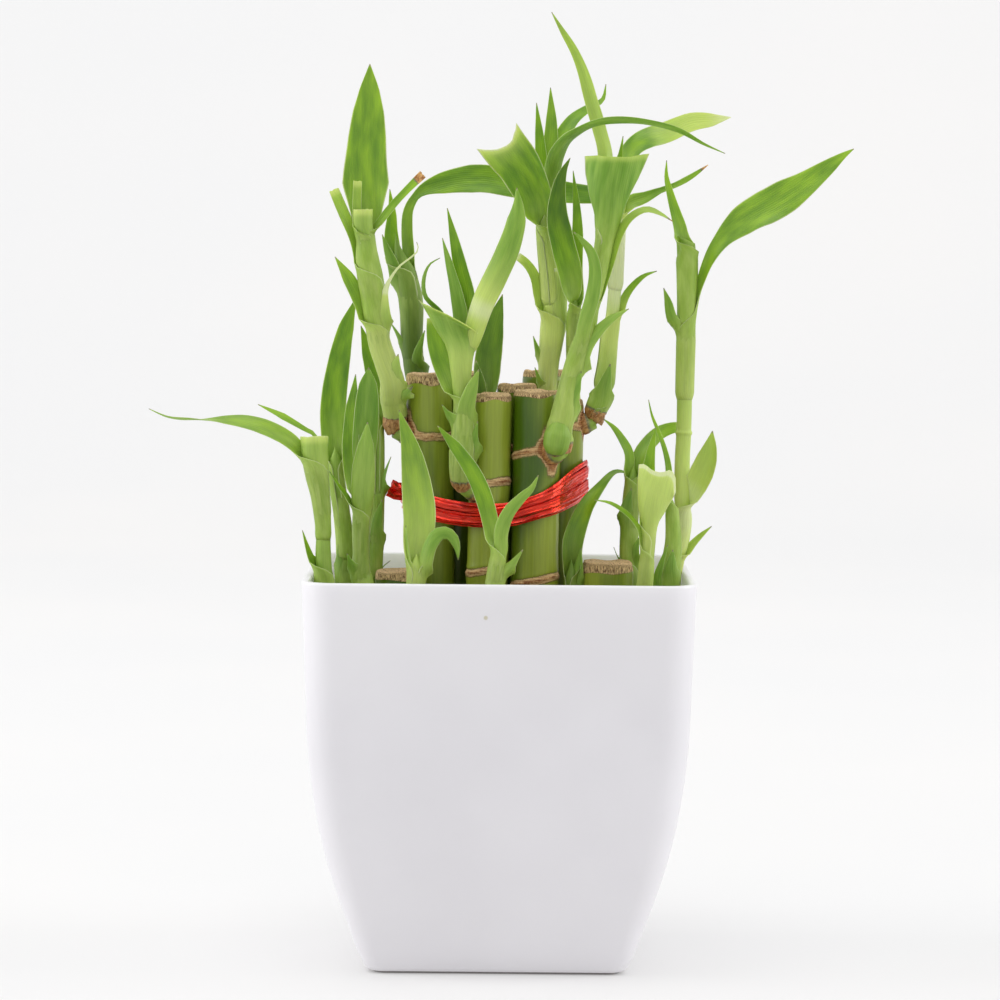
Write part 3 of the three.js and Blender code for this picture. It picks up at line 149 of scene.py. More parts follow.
# Meshes
class Skin:
    """Closed surfaces gathered into one mesh. Each point carries "shape", which is its place on its
    own surface in millimetres, and "look", four shares that its material reads."""

    def __init__(self):
        self.points = []
        self.faces = []
        self.shape = []
        self.look = []
        self.count = 0

    def add(self, points, faces, shape, look):
        """Adds a surface. A shape or a look may also be given once, for all of its points."""
        points = np.asarray(points, float).reshape(-1, 3)
        self.points.append(points)
        self.faces += [tuple(int(k) + self.count for k in face) for face in faces]
        for rows, values, width in ((self.shape, shape, 3), (self.look, look, 4)):
            rows.append(np.broadcast_to(np.asarray(values, float).reshape(-1, width), (len(points), width)))
        self.count += len(points)

    def build(self, name, node, material, flat=False):
        """Makes the piece that stands for a CAD node."""
        mesh = bpy.data.meshes.new(name)
        mesh.from_pydata(np.vstack(self.points) * MM, [], self.faces)
        shape = mesh.attributes.new("shape", "FLOAT_VECTOR", "POINT")
        shape.data.foreach_set("vector", np.vstack(self.shape).astype(np.float32).ravel())
        look = mesh.attributes.new("look", "FLOAT_COLOR", "POINT")
        look.data.foreach_set("color", np.vstack(self.look).astype(np.float32).ravel())
        work = bmesh.new()
        work.from_mesh(mesh)
        bmesh.ops.recalc_face_normals(work, faces=work.faces)
        for face in work.faces:
            face.smooth = not flat
        work.to_mesh(mesh)
        work.free()
        mesh.materials.append(material)
        piece = bpy.data.objects.new(name, mesh)
        bpy.context.scene.collection.objects.link(piece)
        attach(piece, "root")
        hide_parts(node)


def tube_faces(rings, count, capped=True, closed=False):
    """Faces between rings of count points, from the last ring back to the first where it is closed,
    and over the two ends where it is capped."""
    faces = []
    for i in range(rings if closed else rings - 1):
        low, high = i * count, (i + 1) % rings * count
        faces += [(low + k, low + (k + 1) % count, high + (k + 1) % count, high + k) for k in range(count)]
    if capped:
        faces += [tuple(range(count)), tuple(range((rings - 1) * count, rings * count))]
    return faces


# Shoots: a stem, which its leaves wrap with their sheaths
CURL = [60, 45, 28, 20, 15, 11, 7]
TO_EYE = np.array([0.0, -1.0, 0.0])
TURN_END = 0.25  # the share of a blade over which its upper side turns to its own face
CUT_WIDTH = 1.9  # a blade that ends wider than this was cut
TIP_WIDTH = 0.2
SHEATH_HALF = math.radians(164.0)  # half the angle that a sheath takes round its stem
SHEATH_SPAN = (3.5, 15.0)  # the least and the greatest length of a sheath
SHEATH_THICK = 0.3
BLADE_THICK = 0.5
STATION = 1.3  # spacing of the rings along a blade
RING_LIMITS = (12, 80)
LEAF_COLUMNS = 12
STEM_SIDES = 20
ACROSS = np.concatenate([[-1.0], np.linspace(-0.95, 0.95, LEAF_COLUMNS - 1), [1.0]])
RIPPLE = 0.035  # how far margins wave, in widths
SHEATH_WIND = 0.12  # how far a sheath's overlap winds inward
CUT_JAG = 0.16
OWN_TIP = 0.6  # how much of a drawn length a tip is brown, where none is given
STEM_SLACK = 0.95  # the stem's radius inside its sheaths
NODE_RISE = 0.3
BLUNT_SLANT = 0.55
KNOB_RINGS = 17
STEM_BARK = 0.3  # the stem's place across a blade, for the material
SCAR_EDGE = 0.8


class Stem:
    """A stem, from points seen across, up and in depth with a radius, and how its shoot looks."""

    def __init__(self, points, tone, scar):
        self.curve = Curve([seen(p) for p in points])
        self.ups = np.array([p[1] for p in points], float)
        self.radii = [p[3] for p in points]
        self.low = self.ups[0]
        self.tones = [(0.0, tone)] if np.isscalar(tone) else tone
        self.scar = scar

    def place(self, up):
        """Points, headings and radii at seen heights. The given points' heights rise along the stem."""
        steps = len(self.ups) - 1
        up = np.atleast_1d(up)
        k = np.clip(np.searchsorted(self.ups, up, side="left") - 1, 0, steps - 1)
        part = (up - self.ups[k]) / (self.ups[k + 1] - self.ups[k])
        t = (k + np.clip(part, 0.0, 1.0)) / steps
        return self.curve.at(t), self.curve.heading(t), along(self.radii, t)

    def tone_and_painted_light_at(self, up):
        """The shoot's tone at seen heights, partly its own colour and partly painted light and painted shade.
        """
        return np.interp(up, *zip(*self.tones))

    def scarred(self, up):
        """How brown the foot of the shoot is at seen heights."""
        return 1.0 - smooth((up - self.low - self.scar + SCAR_EDGE) / SCAR_EDGE)


def is_cut(leaf):
    """Whether a blade ends at a cut and not at a tip."""
    return leaf["w"][-1] > CUT_WIDTH


def turned_normals(leaf, heading, start):
    """The upper side's normals along a leaf: carried along it, or turned as "face" says."""
    normals = np.zeros_like(heading)
    carried = start
    for k, way in enumerate(heading):
        carried = unit(on_plane(carried, way))
        normals[k] = carried
    if "face" not in leaf:
        return normals
    share = np.linspace(0.0, 1.0, len(heading))
    front = unit(on_plane(TO_EYE, heading))
    aside = np.cross(heading, front)
    first = math.degrees(math.atan2(normals[0] @ aside[0], normals[0] @ front[0]))
    own = along(leaf["face"], share)
    short = (own - first + 540.0) % 360.0 - 180.0
    angle = np.radians(own - short * (1.0 - smooth(share / TURN_END)))[:, None]
    return front * np.cos(angle) + aside * np.sin(angle)


def leaf_rings(leaf, stem, lift):
    """What a leaf's rings need, from the lower end of its sheath to its tip. Each value holds one
    row to a ring and is ready to be spread across the leaf."""
    at, widths = leaf["at"], leaf["w"]
    (foot,), (foot_way,), (foot_radius,) = stem.place(at)
    (low,), _, (low_radius,) = stem.place(at - ROOT_DEPTH)
    out = unit(on_plane(compass(leaf["side"]), foot_way))
    seat = [low + out * low_radius * 0.3, foot + out * foot_radius * 0.8]
    curve = Curve(seat + [seen(p) for p in leaf["path"]])
    share = np.linspace(0.0, 1.0, int(np.clip(curve.length / STATION, *RING_LIMITS)))
    if is_cut(leaf):
        fine = 1.0 - np.linspace(0.0, 1.6 * leaf.get("roll", 1.2), 12)[1:] / curve.length
        share = np.unique(np.concatenate([share, fine]))
    else:
        widths = [*widths[:-1], TIP_WIDTH]
    point, heading = curve.by_length(share)
    reach = share * curve.length

    # The sheath, which follows the stem, and which the blade opens out of
    below = np.arange(-np.clip(0.8 * curve.length, *SHEATH_SPAN), -0.6, 1.0)
    up = np.clip(at - ROOT_DEPTH + np.concatenate([below, reach]), stem.low + 0.5, None)
    stem_point, stem_way, stem_radius = stem.place(up)
    stem_out = unit(on_plane(out, stem_way))
    closing = smooth((up - up[0]) / 1.6)
    radius = (stem_radius * (0.9 + 0.1 * closing) + lift * closing)[:, None]
    opening = smooth((reach - 0.5 * ROOT_DEPTH) / (2.2 * foot_radius + 2.5))
    blend = np.concatenate([np.zeros(len(below)), opening])[:, None]

    def opened(on_sheath, on_blade):
        padded = np.concatenate([np.repeat(on_blade[:1], len(below), axis=0), on_blade])
        return on_sheath * (1 - blend) + padded * blend

    way = unit(opened(stem_way, heading))
    normal = unit(on_plane(opened(-stem_out, turned_normals(leaf, heading, -out)), way))
    half = np.radians(along(leaf.get("curl", CURL), share))[:, None]
    width = along(widths, share)[:, None]
    point = opened(stem_point + stem_out * radius, point)
    share = np.concatenate([np.zeros(len(below)), share])[:, None]
    return SimpleNamespace(
        point=point[:, None], way=way[:, None], normal=normal[:, None], blend=blend, share=share,
        half=opened(SHEATH_HALF, half), width=opened(2 * SHEATH_HALF * radius, width), up=up[:, None],
        reach=np.concatenate([below, reach])[:, None], left=(1 - share) * curve.length, length=curve.length)


def leaf_middle(leaf, rings, draw):
    """The middle of a leaf's thickness, and the directions towards its upper side."""
    blend, width, left = rings.blend, rings.width, rings.left
    aside = np.cross(rings.way, rings.normal)
    angle = rings.half * ACROSS
    bend = width / (2 * rings.half)

    # Margins wave a little, the more the wider the blade is, and the sheath's overlap winds inward
    wave_length = draw.uniform(11.0, 17.0)
    phases = draw.uniform(0.0, 2 * math.pi, 2)
    wave = np.where(ACROSS < 0, np.sin(2 * math.pi * rings.reach / wave_length + phases[0]),
                    np.sin(2 * math.pi * rings.reach / (1.17 * wave_length) + phases[1]))
    ripple = RIPPLE * width * blend * np.abs(ACROSS) ** 2.5 * wave * smooth((1 - rings.share) / 0.15)
    wind = -SHEATH_WIND * (1 - blend) * ACROSS
    fold = np.tan(np.radians(leaf.get("fold", 0.0))) * blend * width / 2 * (np.abs(ACROSS) - 0.4)
    middle = (rings.point
              + aside * (bend * np.sin(angle))[..., None]
              + rings.normal * (bend * (1 - np.cos(angle)) + ripple + wind + fold)[..., None])

    # The slant and the bow of its across lines, and the ragged edge of a cut
    slant = along(leaf.get("skew", [0.0]), rings.share) * ACROSS
    bow = along(leaf.get("notch", [0.0]), rings.share) * (1 - ACROSS**2)
    if is_cut(leaf):
        jag = np.interp(ACROSS, np.linspace(-1, 1, 15), draw.uniform(-CUT_JAG, CUT_JAG, 15))
        edge = leaf.get("edge", [0.0, 0.0])
        jag = jag + np.interp(ACROSS, np.linspace(-1, 1, len(edge)), edge)
        slant = slant + jag * smooth(1 - left / 5.0)
    middle = middle + rings.way * (blend * (slant - bow))[..., None]
    out = rings.normal * np.cos(angle)[..., None] - aside * np.sin(angle)[..., None]
    if "roll" in leaf:
        ball = 0.75 * leaf["roll"]
        over = np.clip(1.5 * leaf["roll"] - left, 0.0, None)
        turn = over / ball
        middle = middle + rings.way * (ball * np.sin(turn) - over)[..., None]
        middle = middle - rings.normal * (ball * (1 - np.cos(turn)))[..., None]
        out = out * np.cos(turn)[..., None] + rings.way * np.sin(turn)[..., None]
    return middle, out


def leaf_look(leaf, rings, under, stem, draw):
    """How much a leaf's surface is underside and withered, its tone, which is partly its own colour and
    partly painted light and painted shade, and how much it is a sheath.
    """
    fresh_cut = is_cut(leaf) and "dry" not in leaf
    tip = leaf.get("dry", OWN_TIP * draw.uniform(1.4, 2.6))
    most = 0.0 if fresh_cut or tip == 0 else (1.0 if "dry" in leaf else 0.5)
    dry = most * (1.0 - smooth((rings.left / max(tip, 0.1) - 0.6) / 0.4))
    dry = np.maximum(dry, (1.0 - smooth(rings.blend / 0.4)) * stem.scarred(rings.up))
    fresh = 1.0 - smooth((rings.reach - 1.0) / (0.35 * rings.length + 6.0))
    lip = (1.0 - smooth(rings.left / 2.4)) * fresh_cut
    # The tone is partly the leaf's own colour and partly painted light and painted shade.
    tone = along(np.atleast_1d(leaf.get("tone", 0.0)), rings.share)
    tone = tone * (1 - fresh) + stem.tone_and_painted_light_at(rings.up) * fresh + 0.5 * lip + draw.uniform(-0.1, 0.1)
    return stacked(under, dry, np.clip(0.5 + 0.5 * tone, 0.0, 1.0), np.maximum(fresh, 0.9 * lip))


def leaf_end(start, count):
    """Faces that close one end of a leaf, between its upper and its lower side."""
    faces = []
    for j in range(LEAF_COLUMNS):
        a, b = start + j, start + j + 1
        c, d = start + count - j - 1, start + (count - j) % count
        faces.append((a, b, c) if j == 0 else (a, b, d) if j == LEAF_COLUMNS - 1 else (a, b, c, d))
    return faces


def leaf_surface(skin, leaf, stem, lift, draw):
    """A leaf: its sheath, lifted off the stem, and the blade that opens out of it."""
    rings = leaf_rings(leaf, stem, lift)
    middle, out = leaf_middle(leaf, rings, draw)
    thick = SHEATH_THICK + (BLADE_THICK - SHEATH_THICK) * rings.blend * smooth(rings.width / 6.0)
    thick = thick * (1 - 0.45 * rings.share) * np.sqrt(np.clip(1 - ACROSS**4, 0.0, 1.0))
    upper = middle + out * (thick / 2)[..., None]
    lower = middle - out * (thick / 2)[..., None]
    ring = np.concatenate([upper, lower[:, -2:0:-1]], axis=1)
    rows, count = ring.shape[:2]

    order = np.concatenate([ACROSS, ACROSS[-2:0:-1]])
    under = np.repeat([0.0, 1.0], [LEAF_COLUMNS + 1, LEAF_COLUMNS - 1])
    under = np.where(np.abs(order) > 0.99, 0.5, under)
    shape = stacked(order * rings.width / 2, rings.reach, np.abs(order))
    faces = tube_faces(rows, count, capped=False)
    faces += leaf_end(0, count) + leaf_end((rows - 1) * count, count)
    skin.add(ring, faces, shape, leaf_look(leaf, rings, under, stem, draw))


def round_tube(skin, point, way, radius, look, slant=0.0):
    """A closed tube through the points. "slant" leans its rings, up on the left and down on the right."""
    side = unit(on_plane(np.array([1.0, 0.0, 0.0]), way))
    angle = np.linspace(0, 2 * math.pi, STEM_SIDES, endpoint=False)[:, None]
    ring = side[:, None] * np.cos(angle) + np.cross(way, side)[:, None] * np.sin(angle)
    ring = point[:, None] + ring * radius[:, None, None]
    ring = ring - way[:, None] * (slant * radius)[:, None, None] * (side[:, None, :1] * np.cos(angle))
    shape = stacked(angle[:, 0] * radius.mean(), running_length(point)[:, None], STEM_BARK)
    skin.add(ring, tube_faces(len(point), STEM_SIDES), shape, np.repeat(look, STEM_SIDES, axis=0))


def stem_surface(skin, stem, rings, last, blunt):
    """The stem inside its sheaths, with a swollen pale ring at each of its bare nodes.

    Above its last leaf it thins into a pointed bud, or ends slantwise where it is blunt.
    """
    top = stem.ups[-1]
    finer = [np.linspace(height - 1.2, height + 1.2, 9) for height in rings]
    ups = np.unique(np.concatenate([np.arange(stem.low, top, 1.0), [top], *finer]))
    point, way, radius = stem.place(ups)
    swell = np.zeros(len(ups))
    for height in rings:
        swell = np.maximum(swell, np.exp(-(((ups - height) / 0.45) ** 2)))
    radius = radius * STEM_SLACK + NODE_RISE * swell
    bud = np.clip((ups - last) / max(top - last, 0.1), 0.0, 1.0)
    if not blunt:
        radius = radius * np.clip(1 - bud**1.3, 0.03, 1.0)
    pale = np.clip(0.62 + 0.38 * swell, 0.0, 1.0)
    # The stem's tone along its height is partly its own colour and partly painted light and painted shade.
    look = stacked(1.0, stem.scarred(ups), 0.5 + 0.5 * stem.tone_and_painted_light_at(ups), pale)
    round_tube(skin, point, way, radius, look, BLUNT_SLANT * bud if blunt else 0.0)


def knob_surface(skin, foot, tip, wide):
    """A closed scaly bud beside a root, from its foot to its tip."""
    foot, tip = seen(foot), seen(tip)
    share = np.linspace(0.0, 1.0, KNOB_RINGS)
    point = foot + (tip - foot) * share[:, None]
    way = np.broadcast_to(unit(tip - foot), point.shape)
    bulge = np.sqrt(np.clip(1 - (2 * share - 1) ** 2, 0.0, 1.0))
    lap = 0.08 * smooth((share - 0.62) / 0.05) + 0.05 * smooth((share - 0.3) / 0.05)
    radius = np.clip(wide * (bulge - lap * (share < 0.97)), 0.02, None)
    round_tube(skin, point, way, radius, stacked(1.0, 0.8 * (1 - smooth(share / 0.12)), 0.42, 0.5))


# The rings of a shoot's base, from inside the cane's bark to the stem. Its widths are in radii.
BASE_OUT = [-0.8, 0.2, 0.9, 1.6]
BASE_RISE = np.array([-0.4, -0.3, -0.1, 0.1, 0.5])
BASE_WIDTH = np.array([1.25, 1.32, 1.28, 1.12, 0.9])
BASE_DRY = np.array([1.0, 0.95, 0.7, 0.3, 0.0])


def base_surface(skin, root, canes):
    """The swollen base by which a shoot grows out of its cane."""
    name, azimuth, height, radius = root
    cane = canes[name]
    reach = [cane.radius + step for step in BASE_OUT]
    reach = np.array([*reach, cane.radius + NODE_SWELL + GAP + ROOT_LENGTH * radius])[:, None]
    point = cane.centre(height) + compass(azimuth) * reach + np.array([0.0, 0.0, 1.0]) * BASE_RISE[:, None]
    way = unit(np.gradient(point, axis=0))
    round_tube(skin, point, way, BASE_WIDTH * radius, stacked(1.0, BASE_DRY, 0.5, 1.0))


def root_points(root, canes):
    """The first two points of a shoot's stem, just off its cane."""
    name, azimuth, height, radius = root
    cane = canes[name]
    start = cane.radius + NODE_SWELL + GAP

    def spot(reach, rise):
        x, y = (cane.centre(height) + compass(azimuth) * reach)[:2]
        return [*as_seen(x, y, height + rise), radius]

    return [spot(start, 0.0), spot(start + ROOT_LENGTH * radius, 0.5)]


# Shoots at the back, which grow by one rule: the cane's number, the azimuth, the top and the seed
BACK_SHOOTS = [(6, 161, 130, 3), (7, 182, 137, 5), (8, 204, 128, 8), (9, 240, 112, 12)]
BACK_FOOT = 84
BACK_REACH = 42
BACK_ROOT = 5  # how far above its foot a back shoot's stem begins
BACK_BUD = 6  # how far below its top the stem ends
BACK_STEM = 1.9
BACK_LEAVES = (0.35, 0.55, 0.7)
BACK_WIDTHS = [4, 5, 5.4, 4.6, 2.8, 0.7]


def seeded_draws(seed):
    """Random values in 0..1, by the same rule as in the solids."""
    while True:
        seed = (seed * 16807) % 2147483647
        yield seed / 2147483647


def grow_back_shoot(cane, azimuth, top, seed):
    """A shoot as the table gives them, with its leaves to the left and the right in turn."""
    draws = seeded_draws(seed)
    out = compass(azimuth)[:2]

    def spot(reach, height, radius):
        return [*as_seen(*(out * reach), height), radius]

    stem = [
        spot(BACK_REACH - 0.8, BACK_FOOT + BACK_ROOT, BACK_STEM),
        spot(BACK_REACH, (BACK_FOOT + BACK_ROOT + top) / 2, BACK_STEM),
        spot(BACK_REACH, top - BACK_BUD, BACK_STEM * 0.8),
    ]
    rise = top - BACK_FOOT
    leaves = []
    for k, share in enumerate(BACK_LEAVES):
        side = azimuth + (1 if k % 2 else -1) * (35 + 35 * next(draws))
        reach = 4 + 3 * next(draws)
        lift = rise * (0.3 + 0.12 * next(draws))
        foot = BACK_FOOT + rise * share
        path = []
        for aside, up in ((3.4, lift * 0.45), (reach * 0.6, lift * 0.85), (reach, lift * 1.1)):
            x, y = out * BACK_REACH + compass(side)[:2] * aside
            path.append(as_seen(x, y, foot + up))
        leaves.append(blade(as_seen(0, out[1] * BACK_REACH, foot)[1], side, BACK_WIDTHS, path))
    return dict(root=[f"outer_cane_{cane}", azimuth, BACK_FOOT, BACK_STEM * 0.85], stem=stem, leaves=leaves)


def blade(at, side, w, path, **more):
    """One leaf. It leaves the stem at the seen height "at" on the side "side" and follows "path" to
    its tip, and "w" holds its widths."""
    return dict(at=at, side=side, w=w, path=path, **more)


# Shoots, given as in the solids. "root" names the cane that a shoot grows from, the azimuth on it, the
# height and the radius, and "stem" lists across, up, depth and radius. "rings" are the seen heights of
# bare nodes, "scar" is how far the brown of the root runs up, "knob" is a closed bud beside the root by
# its foot, its tip and its greatest radius, and a "blunt" stem ends in no bud.
# In a leaf, "curl" is half the angle of its section, "face" the turn of its upper side from the eye,
# "skew" and "notch" the slant and the bow of its across lines, and "fold" lifts its margins into a V, in
# degrees. "tone" makes it paler, or darker where it is negative; it is partly the leaf's own colour and
# partly painted light and painted shade, and a shoot's "tone" does the same along its stem. "dry" is
# the length of a browned end. "edge" moves a cut end up and down, in steps across it, and "roll" turns
# it outward.
SHOOTS = {}
SHOOTS["shoot_left_1"] = dict(
    root=["outer_cane_11", -78, 78, 1.8], tone=[(90, 0.0), (120, 0.05), (128, 0.2)],
    stem=[[-38.5, 82, -23, 2], [-43, 88, -26.5, 2.2], [-45.4, 95, -28, 2.3], [-46.2, 105, -28, 2.1],
          [-46.2, 112, -28, 1.8], [-47, 120, -28, 2.2], [-48, 126, -28, 2.8], [-48.6, 131, -28, 3.2]],
    leaves=[
        blade(126, 0, [15, 15.6, 16.2], [[-48.7, 131, -31.4], [-48.9, 135.3, -31.8]], tone=0.3,
              edge=[-1.5, -0.1, 0.2, 0.3, 0.2, -0.1, -1.6], curl=[150, 140, 132], face=[180]),
        blade(126, -90, [3, 4.6, 5, 4.6, 3, 2, 0.8], [[-54, 133, -28], [-60, 137, -28], [-66, 139, -28],
              [-72, 139.6, -28], [-80, 139.8, -27], [-87, 140.4, -26], [-92, 142.5, -25]], tone=0.35,
              face=[60, 40, 30, 60, 110, 120]),
        blade(127, -150, [2, 1.4, 1.6, 2.4, 0.7], [[-48.5, 135.6, -24.5], [-51.5, 137.6, -25],
              [-57, 140.8, -25], [-63.5, 143.9, -25]], tone=0.1, face=[60, 50, 40]),
        blade(99, -90, [3.4, 3, 2, 0.6], [[-49.8, 104.5, -28], [-51.7, 111, -28]], tone=0.3, face=[50]),
    ],
)
SHOOTS["shoot_left_2"] = dict(
    root=["outer_cane_10", -110, 84, 1.7], tone=0.1,
    stem=[[-39.6, 89, -10, 2.1], [-40.4, 97, -12, 2.3], [-40.5, 107, -12, 2.1], [-41.5, 116, -12, 1.9],
          [-43, 126, -12, 2], [-43.2, 133, -12, 1.8]],
    leaves=[
        blade(128, 180, [5, 6.6, 7.1, 6.6, 5.6, 4, 0.8], [[-43.8, 137, -10], [-43.6, 146, -9],
              [-42.4, 155, -8.5], [-40.6, 164, -8.5], [-38, 172, -9]], tone=-0.05, face=[0]),
        blade(98, -60, [4.4, 3.8, 2.4, 0.6], [[-42, 102.5, -13.6], [-42.2, 107.5, -13.6]], tone=0.1,
              face=[150]),
        blade(117, -70, [4.4, 3.4, 2.2, 0.6], [[-44, 122, -12.6], [-44.6, 128, -12.6]], face=[130]),
    ],
)
SHOOTS["shoot_left_3"] = dict(
    root=["outer_cane_11", -48, 88, 1.7],
    stem=[[-34.2, 93, -24.4, 2.1], [-36.1, 98.5, -24, 2.2], [-36.3, 105, -24, 1.7], [-36.3, 113, -24, 1.9],
          [-35.7, 120, -24, 2], [-35.3, 127, -24, 1.6]],
    leaves=[
        blade(114, 0, [4.5, 5.6, 6.4, 6, 4, 0.8], [[-36, 121, -27], [-35.7, 128, -27.6],
              [-35.2, 134, -27.6], [-34.8, 139.5, -26.8]], tone=[0.5, 0.5, 0.4, 0.3, 0.2], face=[180]),
        blade(118, -140, [4, 5, 5, 4, 0.8], [[-38.4, 126, -21.5], [-39, 135, -20.5], [-38.6, 144, -20.5],
              [-38, 152, -21]], tone=-0.3, face=[-20]),
        blade(122, 180, [4.4, 5, 5.6, 6.2, 6.6, 6.6, 6.4, 5.8, 4.4, 0.8], [[-35.6, 132, -21.6],
              [-35, 143, -22], [-34.6, 153.8, -22.4]], tone=[0.3, 0.1, -0.1, -0.25, -0.2], fold=-8,
              face=[180]),
        blade(114, -90, [4, 3.4, 2.2, 0.6], [[-40.2, 120, -25], [-42.3, 122.8, -25.5],
              [-44.7, 126.5, -26]], face=[90, 70, 60]),
        blade(98, -50, [4, 3.4, 2.2, 0.6], [[-38.6, 101.5, -26], [-40, 105, -26.2]], tone=0.1, face=[160]),
    ],
)
SHOOTS["shoot_left_4"] = dict(
    root=["outer_cane_10", -45, 86, 1.3], tone=-0.2,
    stem=[[-33.6, 92, -11.4, 1.4], [-32.7, 99, -12.2, 1.5], [-32.3, 110, -12, 1.6], [-32.1, 122, -11, 1.6],
          [-32, 134, -8.5, 1.5], [-32.2, 142, -6.5, 1.3]],
    leaves=[
        blade(120, 60, [3.5, 2.6, 1.6, 0.6], [[-30.3, 126, -12.6], [-28.6, 130.5, -12.6]], face=[120]),
        blade(138, 180, [4, 5, 5, 4, 0.8], [[-32.3, 147, -5.4], [-33.8, 155, -4.4], [-35.4, 160.5, -4],
              [-36.7, 164.7, -4]], tone=-0.3, face=[0]),
        blade(107, 20, [4.5, 4, 2.6, 0.6], [[-32.2, 113, -14.2], [-30.8, 119.3, -14.2]], face=[170]),
        blade(98, 90, [2.6, 2, 1.4, 0.6], [[-30.6, 101.4, -10.6], [-28.6, 103.2, -9.6]], tone=-0.3),
    ],
)
SHOOTS["shoot_inner_1"] = dict(
    root=["inner_cane_1", -74, 137.5, 2.4],
    tone=[(132, 0.4), (150, 0.75), (158, 0.7), (168, 0.25), (178, -0.05)], rings=(150.0,), scar=4.5,
    stem=[[-27.6, 141.5, -9.4, 2.6], [-28.4, 146, -11.6, 2.7], [-28.3, 150, -13, 2.6],
          [-30, 155, -13, 2.4], [-31.7, 160, -13, 2.3], [-32.8, 166, -13, 2.4], [-33.4, 172, -13, 2.8],
          [-34.5, 178, -13, 2.9], [-35.3, 183, -13, 2.5], [-35.8, 189, -12.5, 1.8], [-36, 194, -12, 1.4]],
    leaves=[
        blade(186, 180, [5, 6.6, 9.5, 12.6, 11, 9.9, 8.2, 5, 0.7], [[-35.5, 195, -9.5], [-35.7, 205, -8.5],
              [-35.3, 215, -8.5], [-34.9, 225, -9.5], [-34.8, 232.7, -11]], tone=0.12, face=[0]),
        blade(176, -100, [4, 3, 3.2, 3.4, 3], [[-38.2, 186, -12], [-41, 193, -12], [-44, 200, -12]],
              tone=0.4, face=[30]),
        blade(163, -90, [4, 4, 4.1, 3.4, 0.8], [[-37, 171, -12.5], [-40.3, 177.5, -12.5],
              [-43.6, 182.6, -12.5]], tone=0.15, face=[20]),
        blade(184, 20, [6.5, 6.5, 6.5], [[-36.3, 190, -15], [-36.5, 195, -15]], tone=0.3,
              curl=[90, 70, 65], face=[180]),
        blade(186, -60, [2.6, 2.4, 2.2], [[-37.9, 193, -13.6], [-37.8, 202.3, -13.6]], tone=0.3, face=[0]),
        blade(186, 90, [3, 2.4, 2.2, 2.6], [[-32.5, 190.5, -12], [-29, 195.5, -12], [-25, 200, -12],
              [-20.8, 204.2, -12]], tone=0.1, dry=3.2, face=[-30]),
        blade(161, 50, [4.4, 5.4, 4.6, 3, 1.5, 0.7, 0.5, 0.45, 0.4], [[-30.9, 167.5, -15.8],
              [-30.2, 174.6, -15.2], [-27, 180, -14.4], [-23.4, 182.9, -13.6], [-21.9, 184.6, -13.4],
              [-22.3, 186.6, -13.4]], tone=[0.2, 0.4, 0.6, 0.8, 1.2, 1.2, 1.2, 1.2, 1], face=[175]),
        blade(146, 25, [5.4, 5, 4.4, 0.8], [[-27.9, 152, -15.9], [-26.9, 157.4, -15.6]], tone=0.45,
              face=[180]),
        blade(143.5, 50, [5, 4, 3, 0.6], [[-25.2, 146.5, -14.6], [-23, 149, -14.4]], tone=0.2, face=[170]),
    ],
)
SHOOTS["shoot_inner_2"] = dict(
    root=["inner_cane_5", -120, 138.5, 1.7], tone=[(138, -0.6), (150, -0.95), (161, -0.9), (172, -0.5)],
    stem=[[-20.2, 143.5, 9.6, 2], [-22, 150, 12.5, 2.2], [-23.3, 160, 13, 2.5], [-23.6, 170, 13, 2.9],
          [-25, 178, 13, 2.9], [-27, 184, 13, 2.2], [-28, 189, 13, 1.4]],
    leaves=[
        blade(172, -60, [6, 5, 4, 2.4, 0.6], [[-28.3, 180, 11], [-30, 184.5, 10.5], [-31.3, 188.5, 10.5]],
              tone=-0.3, face=[160]),
        blade(178, -120, [4, 4.6, 4, 2.4, 0.6], [[-28.9, 188, 14.5], [-28.8, 194, 15], [-29.4, 200.3, 15]],
              tone=-0.15, face=[0]),
        blade(172, 110, [3.4, 3.5, 3.6, 3.2, 2.2, 6, 8.2, 8, 7.4, 6.6, 5.4, 3.6, 0.8], [[-24, 182, 15],
              [-24.9, 190, 16], [-24.3, 195.5, 17], [-21.5, 199.5, 18], [-15, 202, 19], [-6, 203, 20],
              [4, 201.6, 20], [14, 200, 20], [24, 199.2, 20], [32, 198.5, 20], [36.6, 199.4, 20]],
              tone=-0.25, dry=2.5, face=[0, 20, -10, -20, -20, -20, -20]),
        blade(150, 50, [4.5, 4.2, 3.2, 1.8, 0.6], [[-22, 156.5, 9.8], [-21, 160.5, 9.5],
              [-20, 163.6, 9.5]], tone=-0.4, face=[170]),
        blade(156, -80, [3.4, 2.8, 1.8, 0.6], [[-26.6, 161.5, 12], [-28.9, 165.5, 12]], face=[140]),
    ],
)
